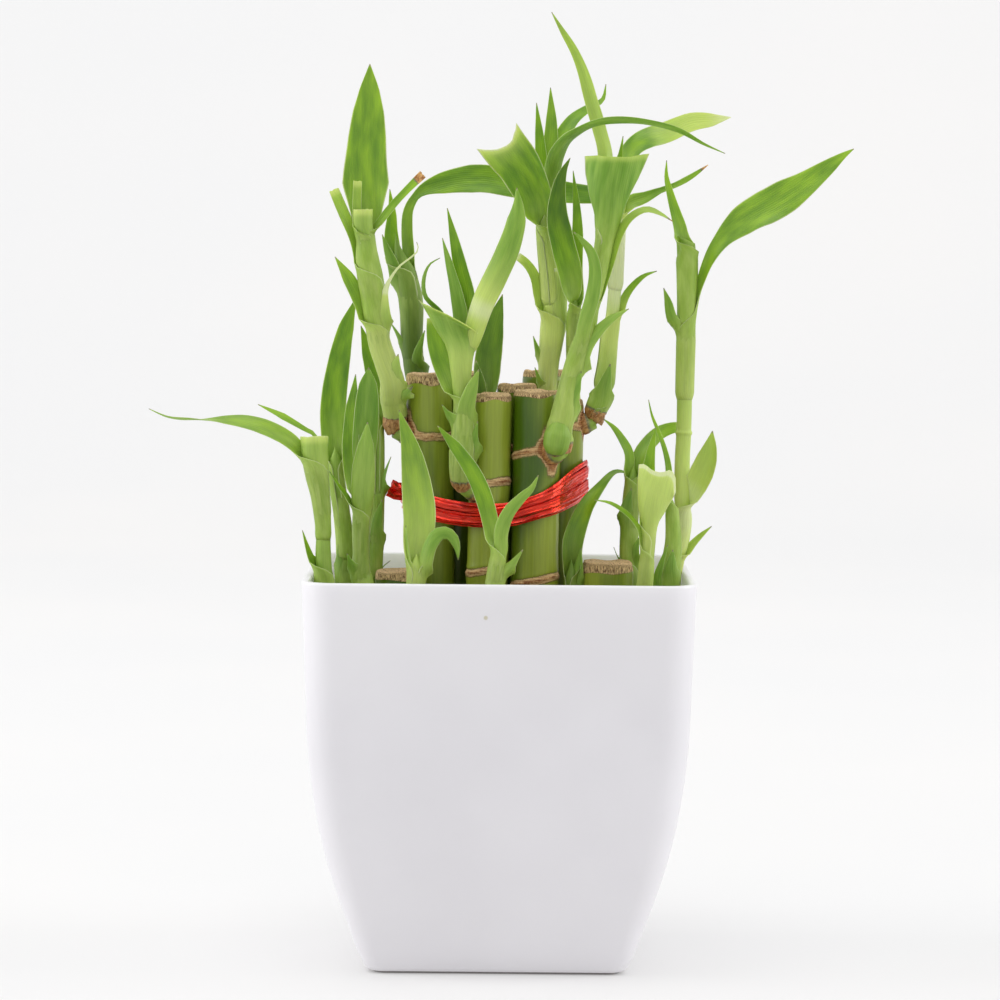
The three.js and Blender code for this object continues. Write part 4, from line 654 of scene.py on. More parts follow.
SHOOTS["shoot_inner_3"] = dict(
    root=["inner_cane_2", -50, 123.5, 2.3],
    tone=[(125, 0.35), (132, 0.0), (146, 0.05), (154, 0.5), (162, 0.3)], rings=(141.5,), scar=3.0,
    stem=[[-10, 126.5, -19.8, 2.7], [-9.8, 131, -20, 3], [-9.5, 136, -19.4, 2.8], [-9.6, 141, -19.2, 2.3],
          [-10, 146, -19, 1.7], [-10.4, 150, -19, 1.9], [-10.3, 155, -19, 2.2], [-10.2, 159, -18.5, 2]],
    leaves=[
        blade(146, 0, [8, 7.8, 8.5, 10.2, 13], [[-10.5, 153, -21.4], [-11, 159, -22], [-12.8, 164, -21.6],
              [-14.8, 169.2, -20.6]], tone=[0.1, 0.3, 0.45, 0.1, 0.2], roll=2.6,
              curl=[110, 95, 75, 60, 48], face=[180], skew=[0, 0, 1, 4, 7]),
        blade(136, -70, [4, 3.5, 2.4, 0.6], [[-13.2, 140.5, -20.4], [-15.4, 144.3, -20.4]], tone=0.1,
              face=[140]),
        blade(137, 30, [5, 4.6, 4.4, 3.2, 0.6], [[-9, 143, -22], [-7.8, 148, -22.4], [-5.8, 153.6, -22]],
              tone=0.15, face=[180]),
        blade(129, 50, [4, 3.2, 2.2, 0.6], [[-7, 135, -22], [-6, 140, -22]], tone=0.1, face=[170]),
        blade(144, -110, [4, 5, 5.2, 4.6, 3], [[-14, 151.5, -17], [-16.3, 157.5, -16.5], [-17.6, 163, -16],
              [-18, 167, -16]], face=[0]),
        blade(155, 180, [4, 5, 5, 4.6, 3.8, 2.2, 0.6], [[-9, 165, -16.4], [-9.2, 173, -15.5],
              [-10.8, 180, -15], [-12.4, 187, -15], [-14.4, 195.5, -15.5]], tone=-0.15, face=[-15]),
        blade(155, -120, [4, 4.6, 4.6, 3.8, 2.4, 0.6], [[-10.8, 165, -17], [-11.9, 173, -16.8],
              [-13.6, 180, -17], [-15.6, 187.7, -17.5]], tone=-0.05, face=[150]),
        blade(155, -100, [2, 1.8, 1.8, 1.5, 1.1, 0.6], [[-15.5, 167.5, -18], [-20, 172.5, -18],
              [-20.4, 177, -18], [-18.9, 180.8, -18], [-16.2, 182.5, -18]], tone=-0.45, face=[150]),
        blade(155, 30, [5, 5.4, 6, 6.3, 6.1, 5, 0.8], [[-7, 164.5, -21], [-4.9, 171, -21.8],
              [-1.6, 178, -22.3], [1.3, 184.5, -22.5], [3.3, 191, -22.3], [4, 196.5, -22],
              [3.6, 201, -21.5]], tone=[0.9, 1.35, 1.2, 0.5, 0.2, 0.15, 0.1], fold=12, face=[175]),
    ],
)
SHOOTS["shoot_inner_4"] = dict(
    root=["inner_cane_4", -95, 137, 1.2], tone=-0.5,
    stem=[[-3.5, 139.5, -0.8, 1.3], [-3.8, 144, -1.4, 1.5], [-3.8, 150, -1.5, 1.5]],
    leaves=[
        blade(145, 180, [4, 6, 7.4, 7.3, 6, 3.6, 0.8], [[-3.9, 152, 1], [-3.3, 158, 1.5], [-2, 165, 1.5],
              [0.2, 173.2, 1]], tone=-0.5, face=[10]),
        blade(143, -60, [4, 4, 3.4, 0.8], [[-5.6, 149, -2.6], [-6.6, 156, -2.8]], tone=-0.4, face=[150]),
    ],
)
SHOOTS["shoot_inner_5"] = dict(
    root=["inner_cane_4", 118, 134, 1.3],
    tone=[(134, 0.75), (146, 0.85), (156, 0.75), (172, 0.75), (182, 0.5), (190, 0.2)], rings=(156.5, 146.0),
    stem=[[11.6, 137.5, 3.9, 1.4], [12.1, 144, 4.6, 1.7], [12.3, 152, 4.6, 1.9], [12.5, 156.5, 4.6, 2.2],
          [13.3, 163, 4.6, 2.7], [13.5, 170, 4.6, 2.9], [13, 177, 4.6, 2.7], [12, 184, 4.6, 2.3],
          [11, 191, 4.6, 1.9], [10.5, 196, 4.6, 1.6]],
    leaves=[
        blade(165, -90, [4, 3.4, 3.4, 3, 2.4], [[9.6, 173, 4.6], [8.6, 177.5, 4.6], [6.6, 181, 4.6],
              [4, 183.2, 4.6]], tone=0.45, face=[30]),
        blade(153, -80, [4, 3.2, 2, 0.6], [[9.6, 158, 3.6], [8.3, 162.4, 3.4]], face=[140]),
        blade(147, -60, [3.5, 3, 1.8, 0.6], [[9.9, 151, 2.6], [8.8, 154.2, 2.4]], face=[140]),
        blade(160, 60, [8, 8.4, 7.4, 6.4], [[14.4, 170, 1.8], [14.8, 176, 1.6], [14.9, 180.2, 1.6]],
              tone=0.55, curl=[100, 90, 80, 70], face=[180]),
        blade(188, -60, [6, 8, 10.5, 12, 13, 13.3], [[9.2, 197, 2.5], [7.3, 202, 1.5], [4.5, 206.8, 0.5],
              [1.5, 210.8, -0.5], [-0.8, 213.8, -1]], tone=[-0.2, -0.2, -0.15, 0.0, 0.4],
              edge=[1.4, 0.9, 0.3, 0, 0.2, 0.6, 1.0], curl=[90, 60, 45, 40, 35, 30], face=[-15],
              notch=[0, 0, 0, 0, 1, 2.6]),
        blade(188, 180, [4, 4, 3.8, 3.4, 2.2, 0.6], [[10, 203, 6.4], [9.8, 210, 6.8], [9.3, 216, 6.8],
              [8.6, 223, 6.6]], face=[0]),
        blade(190, 160, [4, 4.6, 4.8, 4.4, 2.8, 0.6], [[11.6, 203, 7.8], [12.3, 211, 8.4],
              [12.5, 218, 8.4], [12.2, 227, 8.2]], tone=0.15, face=[0]),
        blade(192, 120, [3, 4.5, 5, 5, 4.4, 3, 1.8, 0.6], [[12.5, 204, 8], [14.5, 212, 9.5],
              [18, 218.5, 12], [22.5, 222, 15], [25.8, 224, 17], [26.6, 228, 18]], tone=0.1, face=[-20]),
        blade(190, 90, [3.4, 4.4, 5, 4.4, 3.4, 3, 3, 2.8, 2.4, 1.6, 0.6], [[12.8, 205, 3], [15, 211.5, -4],
              [20, 216, -15], [26, 218.2, -20], [33, 218.6, -20], [40, 217.7, -20], [46, 216, -20],
              [52, 212.8, -20], [57.8, 210.3, -20]], face=[160, 160, 200, 230, 235, 235, 235]),
    ],
)
SHOOTS["shoot_inner_6"] = dict(
    root=["inner_cane_6", 72, 138.5, 1.4], tone=[(138, 0.45), (150, 0.4), (165, 0.1)], rings=(170.5, 160.0),
    stem=[[19.5, 142, 10.6, 1.5], [19.1, 149, 7.6, 1.6], [18.8, 158, 3.6, 1.7], [18.8, 166, 1.6, 1.7],
          [18.8, 171, 1, 1.6], [18.6, 176, 0.5, 1.4]],
    leaves=[
        blade(168, -30, [4, 5, 6.5, 6.8, 6.4, 5, 3, 0.8], [[17.8, 178, -2.6], [15.8, 186, -3.6],
              [14.2, 194, -4], [14.6, 201, -4.4], [15.8, 205.5, -5], [17.5, 208.8, -6]],
              tone=[0.1, 0.05, -0.2, -0.55, -0.7, -0.7], face=[10]),
        blade(168, 100, [3.5, 3.6, 3.6, 3, 1.8, 0.6], [[19.3, 180, 1], [19.6, 189, 0.5], [19.3, 196, 0.5],
              [18.3, 205.5, 0.5]], tone=-0.1, face=[0]),
    ],
)
SHOOTS["shoot_inner_7"] = dict(
    root=["inner_cane_3", 42, 133.5, 2.6],
    tone=[(130, 0.25), (140, 0.3), (153, 0.05), (170, 0.1), (190, 0.0)], scar=2.0,
    knob=([14.1, 130.7, -22.2], [15.6, 140.9, -22.2], 3.7),
    stem=[[15.2, 137, -20, 2.9], [16.1, 141.5, -20.8, 2.6], [17.3, 147, -20.6, 2.3],
          [18.4, 152, -20.4, 2.1], [20.2, 158, -19.8, 2.2], [22, 164, -19, 2.1], [23.3, 170, -18.5, 1.8],
          [24.6, 176, -18, 1.8], [25.8, 182, -17.5, 2], [26.8, 188, -17, 2.2], [27.4, 192, -17, 2.3]],
    leaves=[
        blade(140, 40, [7, 6, 5, 3.2, 0.8], [[18.3, 146, -22.8], [19.7, 150, -22.8], [21, 153.3, -22.5]],
              tone=0.05, face=[180]),
        blade(152, 60, [4.5, 4, 3.8, 3.4, 2.4, 0.7], [[22.3, 160, -21], [25.5, 164.3, -21],
              [29, 167.3, -21], [33.2, 169.7, -21]], tone=0.2, face=[150]),
        blade(157, 0, [4.4, 4, 3.8, 3.8, 3.4, 2.4, 0.7], [[21.7, 166, -21.6], [23.6, 173, -21.6],
              [24.3, 179, -21.6], [23.3, 184, -21.8], [21, 187.3, -22], [18.6, 189.6, -22]], tone=0.1,
              face=[170]),
        blade(168, 90, [2.5, 2.4, 2.6, 3.2, 3.4, 3, 2.4, 1.8], [[26.8, 177, -17], [28.6, 183, -17],
              [30.6, 189, -17.3], [33.5, 193.6, -17.6], [37.5, 195.6, -18], [41.5, 194.3, -18],
              [44.3, 192.6, -18]], tone=0.5, dry=1.6, face=[-30, -30, -50, -50]),
        blade(186, 0, [8.9, 8.2, 9.5, 12.9, 15.6, 18], [[27.6, 194, -19.6], [28, 200, -20.4],
              [28.9, 205, -20.6], [29.7, 209.4, -20]], tone=-0.1, edge=[0.3, 0, -0.4, -0.3, 0.2, 1.0, 1.6],
              curl=[100, 85, 72, 62, 52, 45], face=[180], skew=[0, 0, 0, -0.5, -1.5, -2.6]),
        blade(188, 180, [4, 4.6, 5, 4.6, 3.8, 3.9, 3.5, 2.6, 1.8, 0.6], [[26.5, 200, -14],
              [26.8, 210, -12], [25, 217, -11], [23.2, 223, -11], [21.1, 230, -11], [18.4, 236.5, -11],
              [15, 242, -11.4], [12.3, 246.5, -12]], tone=[0.4, 0.4, 0.55, 0.45, 0.35, 0.3], fold=14,
              face=[-20]),
    ],
)
SHOOTS["shoot_inner_8"] = dict(
    root=["inner_cane_7", 88, 140, 2.2],
    tone=[(140, 0.3), (146, 0.0), (152, 0.2), (161, 0.7), (172, 0.95), (180, 1.3), (190, 1.2), (197, 0.5)],
    rings=(160.0, 152.0), scar=4.0,
    stem=[[24.6, 142.5, -3.3, 2.4], [26.2, 146.5, -3.5, 2.4], [27, 151, -3.5, 2.3], [27.6, 156, -3.5, 2],
          [28.1, 162, -3.5, 1.9], [28.9, 168, -3.5, 1.8], [29.4, 174, -3.5, 1.8], [29.8, 180, -3.5, 1.6],
          [30.2, 186, -3, 1.4], [30.5, 192, -2, 1.3], [30.5, 198, -1, 1.2]],
    leaves=[
        blade(166, 90, [3, 2.6, 2.4, 1.8, 0.6], [[32.3, 172.8, -3.5], [34.5, 176, -3.5],
              [37.2, 178.4, -3.5], [40.4, 179.6, -3.5]], tone=0.2, face=[-30]),
        blade(144, 20, [6, 5.5, 4.5, 2.6, 0.7], [[27.2, 150, -6.2], [28.5, 155.3, -6]], tone=0.1,
              face=[180]),
        blade(141.5, 90, [2.6, 2, 1.4, 0.6], [[28, 144, -3.5], [29.5, 146.8, -3.5]]),
        blade(192, 90, [3, 4, 4.4, 4, 2.8, 1.6, 1.6, 1.7, 1.2, 0.6], [[33, 197, -1], [37, 198.6, -1],
              [41, 200.5, -1], [45, 202, -1], [49, 204.2, -1], [53.4, 207.3, -1]], tone=-0.35, dry=2.4,
              face=[-20]),
        blade(194, 150, [3, 4, 4.6, 5, 5.4, 5.8, 5.9, 5.8, 5.2, 3.8, 0.8], [[31, 205, 3], [33.5, 211, 8],
              [37.5, 213.9, 13], [43, 215.8, 18], [49, 218.4, 21], [54.5, 219, 23], [59.2, 219.7, 24]],
              tone=[-0.5, -0.5, -0.3, 0.45, 0.75, 1.0], dry=0, face=[-20, -10]),
        blade(195, 180, [2.4, 2.4, 1.8, 0.6], [[30.2, 206, 0.5], [31.2, 214.6, 0.5]], tone=-0.2, face=[0]),
    ],
)
SHOOTS["shoot_front_1"] = dict(
    root=["outer_cane_12", -38, 83, 1.8], tone=[(84, 0.4), (104, 0.5), (110, 0.4)],
    stem=[[-20.6, 88.5, -36.8, 2.1], [-21.9, 95, -38, 2.2], [-21.8, 105, -38, 1.6]],
    leaves=[
        blade(101, 180, [4.5, 7, 8.5, 8.6, 7.6, 5.8, 3.2, 0.8], [[-21.6, 108, -36], [-21, 114, -35],
              [-21.7, 122, -34], [-23.4, 132, -34], [-26.6, 142.8, -35]],
              tone=[0.5, 0.5, 0.4, 0.3, 0.2, 0.2], face=[0]),
        blade(98, -70, [4, 3, 2, 0.6], [[-24.4, 106, -37.4], [-24.6, 112.5, -37]], tone=0.2, face=[120]),
        blade(97, 60, [4, 4.4, 4.4, 4, 3.4, 2.4, 0.8], [[-19.5, 103, -39.5], [-18, 108, -40],
              [-15.5, 110.6, -40], [-12.8, 110, -40], [-11.2, 107, -40], [-10.8, 103.5, -40]], tone=-0.1,
              face=[150, 150, 150, 190, 210]),
    ],
)
SHOOTS["shoot_front_2"] = dict(
    root=["outer_cane_1", -25, 83, 1.6], tone=[(84, 0.3), (100, 0.25), (110, 0.1)],
    stem=[[-1.4, 88.5, -40.6, 2], [-1.3, 96, -41.5, 2.3], [-0.6, 103, -41.5, 2], [-0.2, 107, -41.5, 1.5]],
    leaves=[
        blade(103, -70, [3.4, 4, 4.4, 4.5, 4, 3, 0.7], [[-2, 110, -40], [-3.3, 117, -39],
              [-6.3, 125, -38.5], [-11, 132.2, -38.5], [-16.5, 138.7, -39]], tone=-0.1, face=[0]),
        blade(103, 40, [3.6, 3.6, 3.8, 3.2, 2.2, 0.7], [[0.4, 111, -43], [2.2, 116, -43.5],
              [5.6, 120, -43.5], [8.3, 122.6, -43.3], [10, 126, -43]], tone=0.15, face=[180]),
        blade(98, 60, [3.4, 3, 2, 0.6], [[3, 102, -42.5], [6.1, 106.4, -42.5]], tone=0.2, face=[160]),
    ],
)
SHOOTS["shoot_front_3"] = dict(
    root=["outer_cane_2", 165, 87, 1.5], tone=[(84, -0.6), (104, -0.6)],
    stem=[[18.8, 92.5, -15.6, 1.7], [18.9, 98, -15.2, 1.8], [18.9, 104, -15.2, 1.5]],
    leaves=[
        blade(99, 150, [5, 5.6, 5.8, 5.2, 4.2, 2.6, 1.6, 0.7], [[19, 107, -14.8], [20.2, 112, -14.6],
              [22.8, 118, -13], [26.5, 123.5, -9], [30, 127, -4], [32.5, 127, -1.5], [34.6, 125.7, 0.5]],
              tone=[-0.4, -0.4, -0.2, -0.1, 0.0, 0.0], face=[10, 0, -30, -40, -60]),
        blade(95, 50, [4.5, 4, 2.6, 0.6], [[20.6, 101, -16], [21.3, 107, -15.6]], face=[160]),
    ],
)
SHOOTS["shoot_right_1"] = dict(
    root=["outer_cane_4", 98, 83, 1.8],
    tone=[(90, 0.6), (114, 0.85), (125, 0.8), (146, 0.45), (161, 0.25), (182, 0.1)], rings=(137.5, 164.0),
    blunt=True,
    stem=[[42.6, 88, -1.2, 2], [44.9, 96, -3.6, 1.8], [45.7, 101, -3.9, 1.5], [46.8, 106, -4.1, 1.6],
          [48, 112, -4.3, 1.6], [47.7, 120, -4.4, 2.2], [47.6, 130, -4.2, 2.1], [47.9, 138, -4, 2.05],
          [48, 150, -3.8, 2.1], [48.2, 165, -3.7, 2.2], [48.3, 175, -3.8, 2.5], [48.2, 182, -4, 2.7],
          [47.8, 188, -4.2, 2.5]],
    leaves=[
        blade(164, 90, [4, 3.2, 3, 3.6, 5.6, 8.6, 10.2, 9, 6.4, 3.6, 0.6], [[51.6, 175, -4],
              [54, 182, -4.5], [58.3, 188.7, -5], [64, 193.5, -5.5], [71, 197.5, -6], [78, 202, -6],
              [84, 206.5, -6], [88.5, 210, -6], [91.3, 211.8, -6]], tone=0.25, face=[-60, -40, -20, -15]),
        blade(183, -40, [5, 4.6, 3.8, 2.6, 1.6, 0.6], [[46.3, 190, -5], [45.3, 194, -5.3],
              [43.8, 199, -5.5], [42.6, 204, -5.5], [42.6, 208.4, -5.5]], tone=0.1, face=[20]),
        blade(162, -80, [4, 3.6, 3.4, 2.4, 0.6], [[44.2, 167.8, -5], [43.3, 171.8, -5.2],
              [42.2, 175.2, -5.2]], tone=0.05, face=[150]),
        blade(116, 60, [4.5, 4.6, 5.8, 7.4, 7.6, 6.6, 3.8, 0.8], [[51.5, 123, -6], [53.6, 128, -7.5],
              [54.9, 133, -8.5], [55.4, 138, -9]], tone=[1, 0.95, 0.8, 0.6, 0.45, 0.35],
              curl=[80, 60, 45, 40, 35, 30], face=[-40, -30, -20]),
        blade(104, 90, [3.5, 3, 2.4, 1.6, 0.6], [[50.4, 108, -4], [52.8, 110.6, -4], [55.5, 113, -4]],
              tone=0.3, face=[-30]),
    ],
)
SHOOTS["shoot_right_2"] = dict(
    root=["outer_cane_3", 85, 82, 1.8],
    stem=[[39.8, 87, -17.6, 2.1], [43, 92.5, -21.2, 2.5], [44.4, 98, -23, 2.6], [45, 103, -23, 2.4],
          [45.5, 109, -22.5, 1.9], [45.2, 115, -22, 1.6], [44.6, 121, -22, 1.3]],
    leaves=[
        blade(97, 20, [8, 7, 5, 2.8, 0.8], [[45, 102, -26], [45.4, 106.8, -25.6]], tone=0.1,
              curl=[100, 80, 60, 40, 20], face=[180]),
        blade(117, -60, [2.4, 2.2, 1.9, 1.4, 0.9, 0.6], [[44, 128, -22.5], [42.8, 133.5, -23],
              [41, 138.3, -23.3], [39.5, 142, -23.5], [38.6, 146, -23.5]], tone=-0.2, face=[20]),
        blade(93, -30, [3.4, 2.6, 1.9, 0.6], [[41.4, 99, -26], [42.4, 103, -27], [44, 108, -28]],
              face=[180]),
    ],
)
SHOOTS["shoot_right_3"] = dict(
    root=["outer_cane_3", 48, 84, 1.7], tone=[(90, 0.4), (104, 0.45), (112, 0.6)],
    stem=[[35, 88.5, -25.4, 1.9], [37.4, 93, -29, 1.9], [38.2, 98, -30, 1.7], [38.6, 104, -30, 1.6],
          [39.1, 110, -30, 1.6], [39.4, 115, -30, 1.7], [39.6, 119, -30, 1.8]],
    leaves=[
        blade(112, 0, [7, 8, 9.5, 11, 12], [[39.7, 117, -32], [40.3, 121, -32.6], [41, 124.5, -32.6],
              [41.8, 127.5, -32]], tone=[0.6, 0.7, 0.8, 0.7],
              edge=[-2.2, 1.6, 1.9, 0.2, -1.0, -1.1, -0.8, -1.6], curl=[100, 80, 60, 45, 40], face=[180],
              skew=[0, 0, 1, 2, 2]),
        blade(110, -140, [3, 3.6, 4, 3.6, 2.2, 0.6], [[38.3, 118, -28], [38.7, 126, -27.5],
              [39.3, 132, -27.5], [40.6, 138.8, -27.5]], tone=-0.1, face=[0]),
        blade(104, -80, [2.6, 2.4, 2.4, 2.2, 1.8, 1.2, 0.6], [[36.6, 111.5, -31], [34.5, 114.8, -31.5],
              [31.5, 117.4, -32], [28.5, 119, -32], [24.8, 119.6, -32]], tone=0.1, face=[60, 50]),
    ],
)
SHOOTS["shoot_right_4"] = dict(
    root=["outer_cane_4", 38, 85, 1.4],
    stem=[[35.6, 90, -7, 1.7], [34.6, 97, -6.4, 1.8], [33.8, 105, -6.2, 1.9], [34, 112, -6.2, 2],
          [34.3, 119, -6.2, 2.1], [34.7, 125, -6.2, 1.9], [34.9, 129, -6.2, 1.6]],
    leaves=[
        blade(123, -90, [3.4, 3.2, 3.2, 2.8, 1.8, 0.6], [[33.6, 131.5, -6.5], [31.8, 135.5, -6.8],
              [29.4, 138.8, -7], [26.8, 140.9, -7]], tone=0.1, face=[30]),
        blade(123, 90, [3, 3.6, 4.2, 4.2, 3.6, 2.6], [[36.6, 131, -5], [38.8, 134.5, -3],
              [41.5, 137.3, -0.5], [44.5, 138.6, 1], [47.5, 139, 2]], tone=0.2, face=[-20]),
        blade(112, -30, [5, 4.6, 3, 0.7], [[33.2, 118, -8.6], [34.4, 122.8, -8.8]], tone=-0.2, face=[180]),
        blade(101, -90, [2, 1.6, 1.2, 0.6], [[31, 104.5, -6.5], [29.9, 107.3, -6.5]], tone=-0.4),
        blade(101, 40, [5, 4, 2.6, 0.6], [[35.4, 106, -8.4], [36.6, 110, -8.4]], tone=0.2, face=[160]),
    ],
)

# Canes: a foot and a cut top, a radius, the heights of the nodes, and how each looks. "tone" pairs
# heights with tones from dark olive at 0 to yellow green at 1; these are partly the cane's own colour
# and partly painted shade and painted light. "tilt" leans the node rings by some millimetres towards an
# angle, a pair of a share and an angle pales one side, partly the cane's own colour and partly painted
# light, and "band" is the depth of the dried wood under the cut. Angles are in degrees, from +X
# towards +Y.
INNER_CANES = [
    dict(foot=(-15.4, -5.4), top=(-18.9, -6, 152.8), radius=6, nodes=(92, 137), paler_side_and_light=(0.2, 10), band=3.2,
         tilt=(0.5, 40), tone=[(80, 0.45), (112, 0.7), (125, 0.5), (138, 0.7), (150, 1.3)]),
    dict(foot=(-5, -12.6), top=(-2.3, -13, 147.8), radius=5.3, nodes=(102, 124.6), paler_side_and_light=(0.1, -60), band=2.3,
         tilt=(0.9, 250), tone=[(80, 0.8), (118, 0.85), (128, 1.05), (145, 0.9)]),
    dict(foot=(8.6, -12.6), top=(9.4, -13, 148.7), radius=6.1, nodes=(99.4, 133), paler_side_and_light=(0.55, 0), band=1.7,
         tilt=(1.4, 250), tone=[(80, 0.85), (106, 0.85), (120, 0.5), (128, -0.05), (134, 0.1), (148, 0.25)]),
    dict(foot=(4, 0.6), top=(4.3, 0, 150), radius=5.3, nodes=(90, 134), paler_side_and_light=(0.2, 20), band=2.6,
         tilt=(0.5, 10), tone=[(80, 0.4)]),
    dict(foot=(-11.4, 6.6), top=(-11, 4, 152.6), radius=5.8, nodes=(86, 139), paler_side_and_light=(0.2, 20), band=3,
         tilt=(0.7, 100), tone=[(80, 0.35)]),
    dict(foot=(11.4, 12.6), top=(11.3, 13, 153), radius=5.6, nodes=(84, 139), paler_side_and_light=(0.2, 20), band=2.6,
         tilt=(0.6, 200), tone=[(80, 0.45)]),
    dict(foot=(16, -2.4), top=(16.2, -3, 146.5), radius=5.3, nodes=(95, 140), paler_side_and_light=(0.2, 20), band=2.6,
         tilt=(0.8, 60), tone=[(80, 0.6)]),
    dict(foot=(-1, 14), top=(-1.8, 14.6, 145), radius=5.6, nodes=(85, 131), paler_side_and_light=(0.2, 20), band=2.6,
         tilt=(0.6, 320), tone=[(80, 0.5)]),
]
OUTER_TOPS = [96.2, 96.4, 104.6, 98.6, 101, 97.5, 99, 101.5, 97, 98.8, 102.4, 96]
OUTER_NODE_DROP = 15.5
CANE_SIDES = 44
BARK_TOP = 0.7  # how far below the cut the bark ends
FACE_INSET = 0.35
FACE_SHARES = np.array([0.985, 0.93, 0.84, 0.72, 0.58, 0.43, 0.28, 0.13])
FACE_DROPS = np.array([0.25, 0.0, 0.12, 0.3, 0.42, 0.5, 0.5, 0.48])
FACE_NOISE = (15, 2.0, 30)
FACE_PLANE = 40.0  # the cut's place in its own noise, away from the bark's


class Cane:
    def __init__(self, foot, top, radius, nodes, tone, paler_side_and_light, tilt, band):
        self.foot = np.array(foot, float)
        self.top = np.array(top, float)
        self.length = np.linalg.norm(self.top - self.foot)
        self.axis = (self.top - self.foot) / self.length
        self.radius, self.nodes = radius, nodes
        self.tone, self.paler_side_and_light, self.tilt, self.band = tone, paler_side_and_light, tilt, band

    def centre(self, height):
        return self.foot + (self.top - self.foot) * (height - self.foot[2]) / (self.top[2] - self.foot[2])


def cane_list():
    canes = {}
    for number, plan in enumerate(INNER_CANES, 1):
        foot = (*plan["foot"], INNER_FOOT)
        nodes = [z - INNER_FOOT for z in plan["nodes"]]
        canes[f"inner_cane_{number}"] = Cane(**{**plan, "foot": foot, "nodes": nodes})
    for k, top in enumerate(OUTER_TOPS):
        way = compass(5 + 30 * k)[:2]
        canes[f"outer_cane_{k + 1}"] = Cane(
            (*(way * OUTER_RING_FOOT), OUTER_FOOT), (*(way * OUTER_RING), top), OUTER_CANE,
            nodes=[top - OUTER_FOOT - OUTER_NODE_DROP], tone=[(top, 0.35 + 0.4 * ((k * 7) % 5) / 4)],
            paler_side_and_light=(0.25, 80 * k % 360), tilt=(0.6, 47 * k % 360), band=1.8 + 0.5 * ((k * 3) % 4))
    return canes


def soft_noise(draw, around, up, cells_around, cell_up, span):
    """Smooth random values in -1..1 over a surface that closes round itself."""
    rows = int(span / cell_up) + 3
    table = draw.uniform(-1.0, 1.0, (rows, cells_around))
    a = around / (2 * math.pi) * cells_around
    b = np.clip(up / cell_up, 0, rows - 1.001)
    i, j = np.floor(a).astype(int), np.floor(b).astype(int)
    u, v = smooth(a - i), smooth(b - j)
    i0, i1 = i % cells_around, (i + 1) % cells_around
    j1 = np.minimum(j + 1, rows - 1)
    low = table[j, i0] * (1 - u) + table[j, i1] * u
    high = table[j1, i0] * (1 - u) + table[j1, i1] * u
    return low * (1 - v) + high * v


def cane_bark(cane, scars, around, rise, draw):
    """The bark's radii and heights, how much of it is scarred ring, how dry it is, and its upper edge."""
    length, radius = cane.length, cane.radius

    def noise(cells_around, cell_up):
        return soft_noise(draw, around, rise, cells_around, cell_up, length)

    r = radius * (1 + 0.008 * noise(6, 14))
    r += 0.04 * noise(22, 5)
    ring = np.zeros_like(rise)
    lean, lean_to = cane.tilt
    for node in cane.nodes:
        off = rise - (node + lean * np.sin(around - math.radians(lean_to)) + 0.25 * noise(18, 4))
        frill = 0.65 + 0.35 * noise(26, 1.5)
        r += 0.3 * np.exp(-((off / 2.2) ** 2)) + 0.28 * frill * np.exp(-((off / 0.38) ** 2))
        r -= 0.16 * np.exp(-(((off - 0.95) / 0.4) ** 2))
        ring = np.maximum(ring, np.exp(-((off / 1.3) ** 2)) * (0.75 + 0.35 * frill))
        ring = np.maximum(ring, 0.8 * smooth(1 + off / 2.2) * (off < 0))
    for at, azimuth, size in scars:
        apart = (around - math.radians(azimuth) + math.pi) % (2 * math.pi) - math.pi
        below = np.clip(at - rise, 0.0, None) / size
        far = np.hypot(apart * radius * (1.0 + 1.1 * below) / 1.15, (rise - at) / 1.25) / size
        ring = np.maximum(ring, 1.15 * (1 - smooth((far - 0.75) / 0.45)))
        r += 0.25 * np.exp(-(far**2) * 1.4)
    edge = length + 0.35 * noise(13, 50)
    above = rise - (length - cane.band)
    dry = smooth((above - 0.8 * noise(9, 50)) / 0.9)
    r -= 0.35 * smooth(above / cane.band)
    r += 0.16 * dry * noise(30, 1.2)
    return r, np.minimum(rise, edge - 0.5 * (length - rise)), ring, dry, edge[-1]


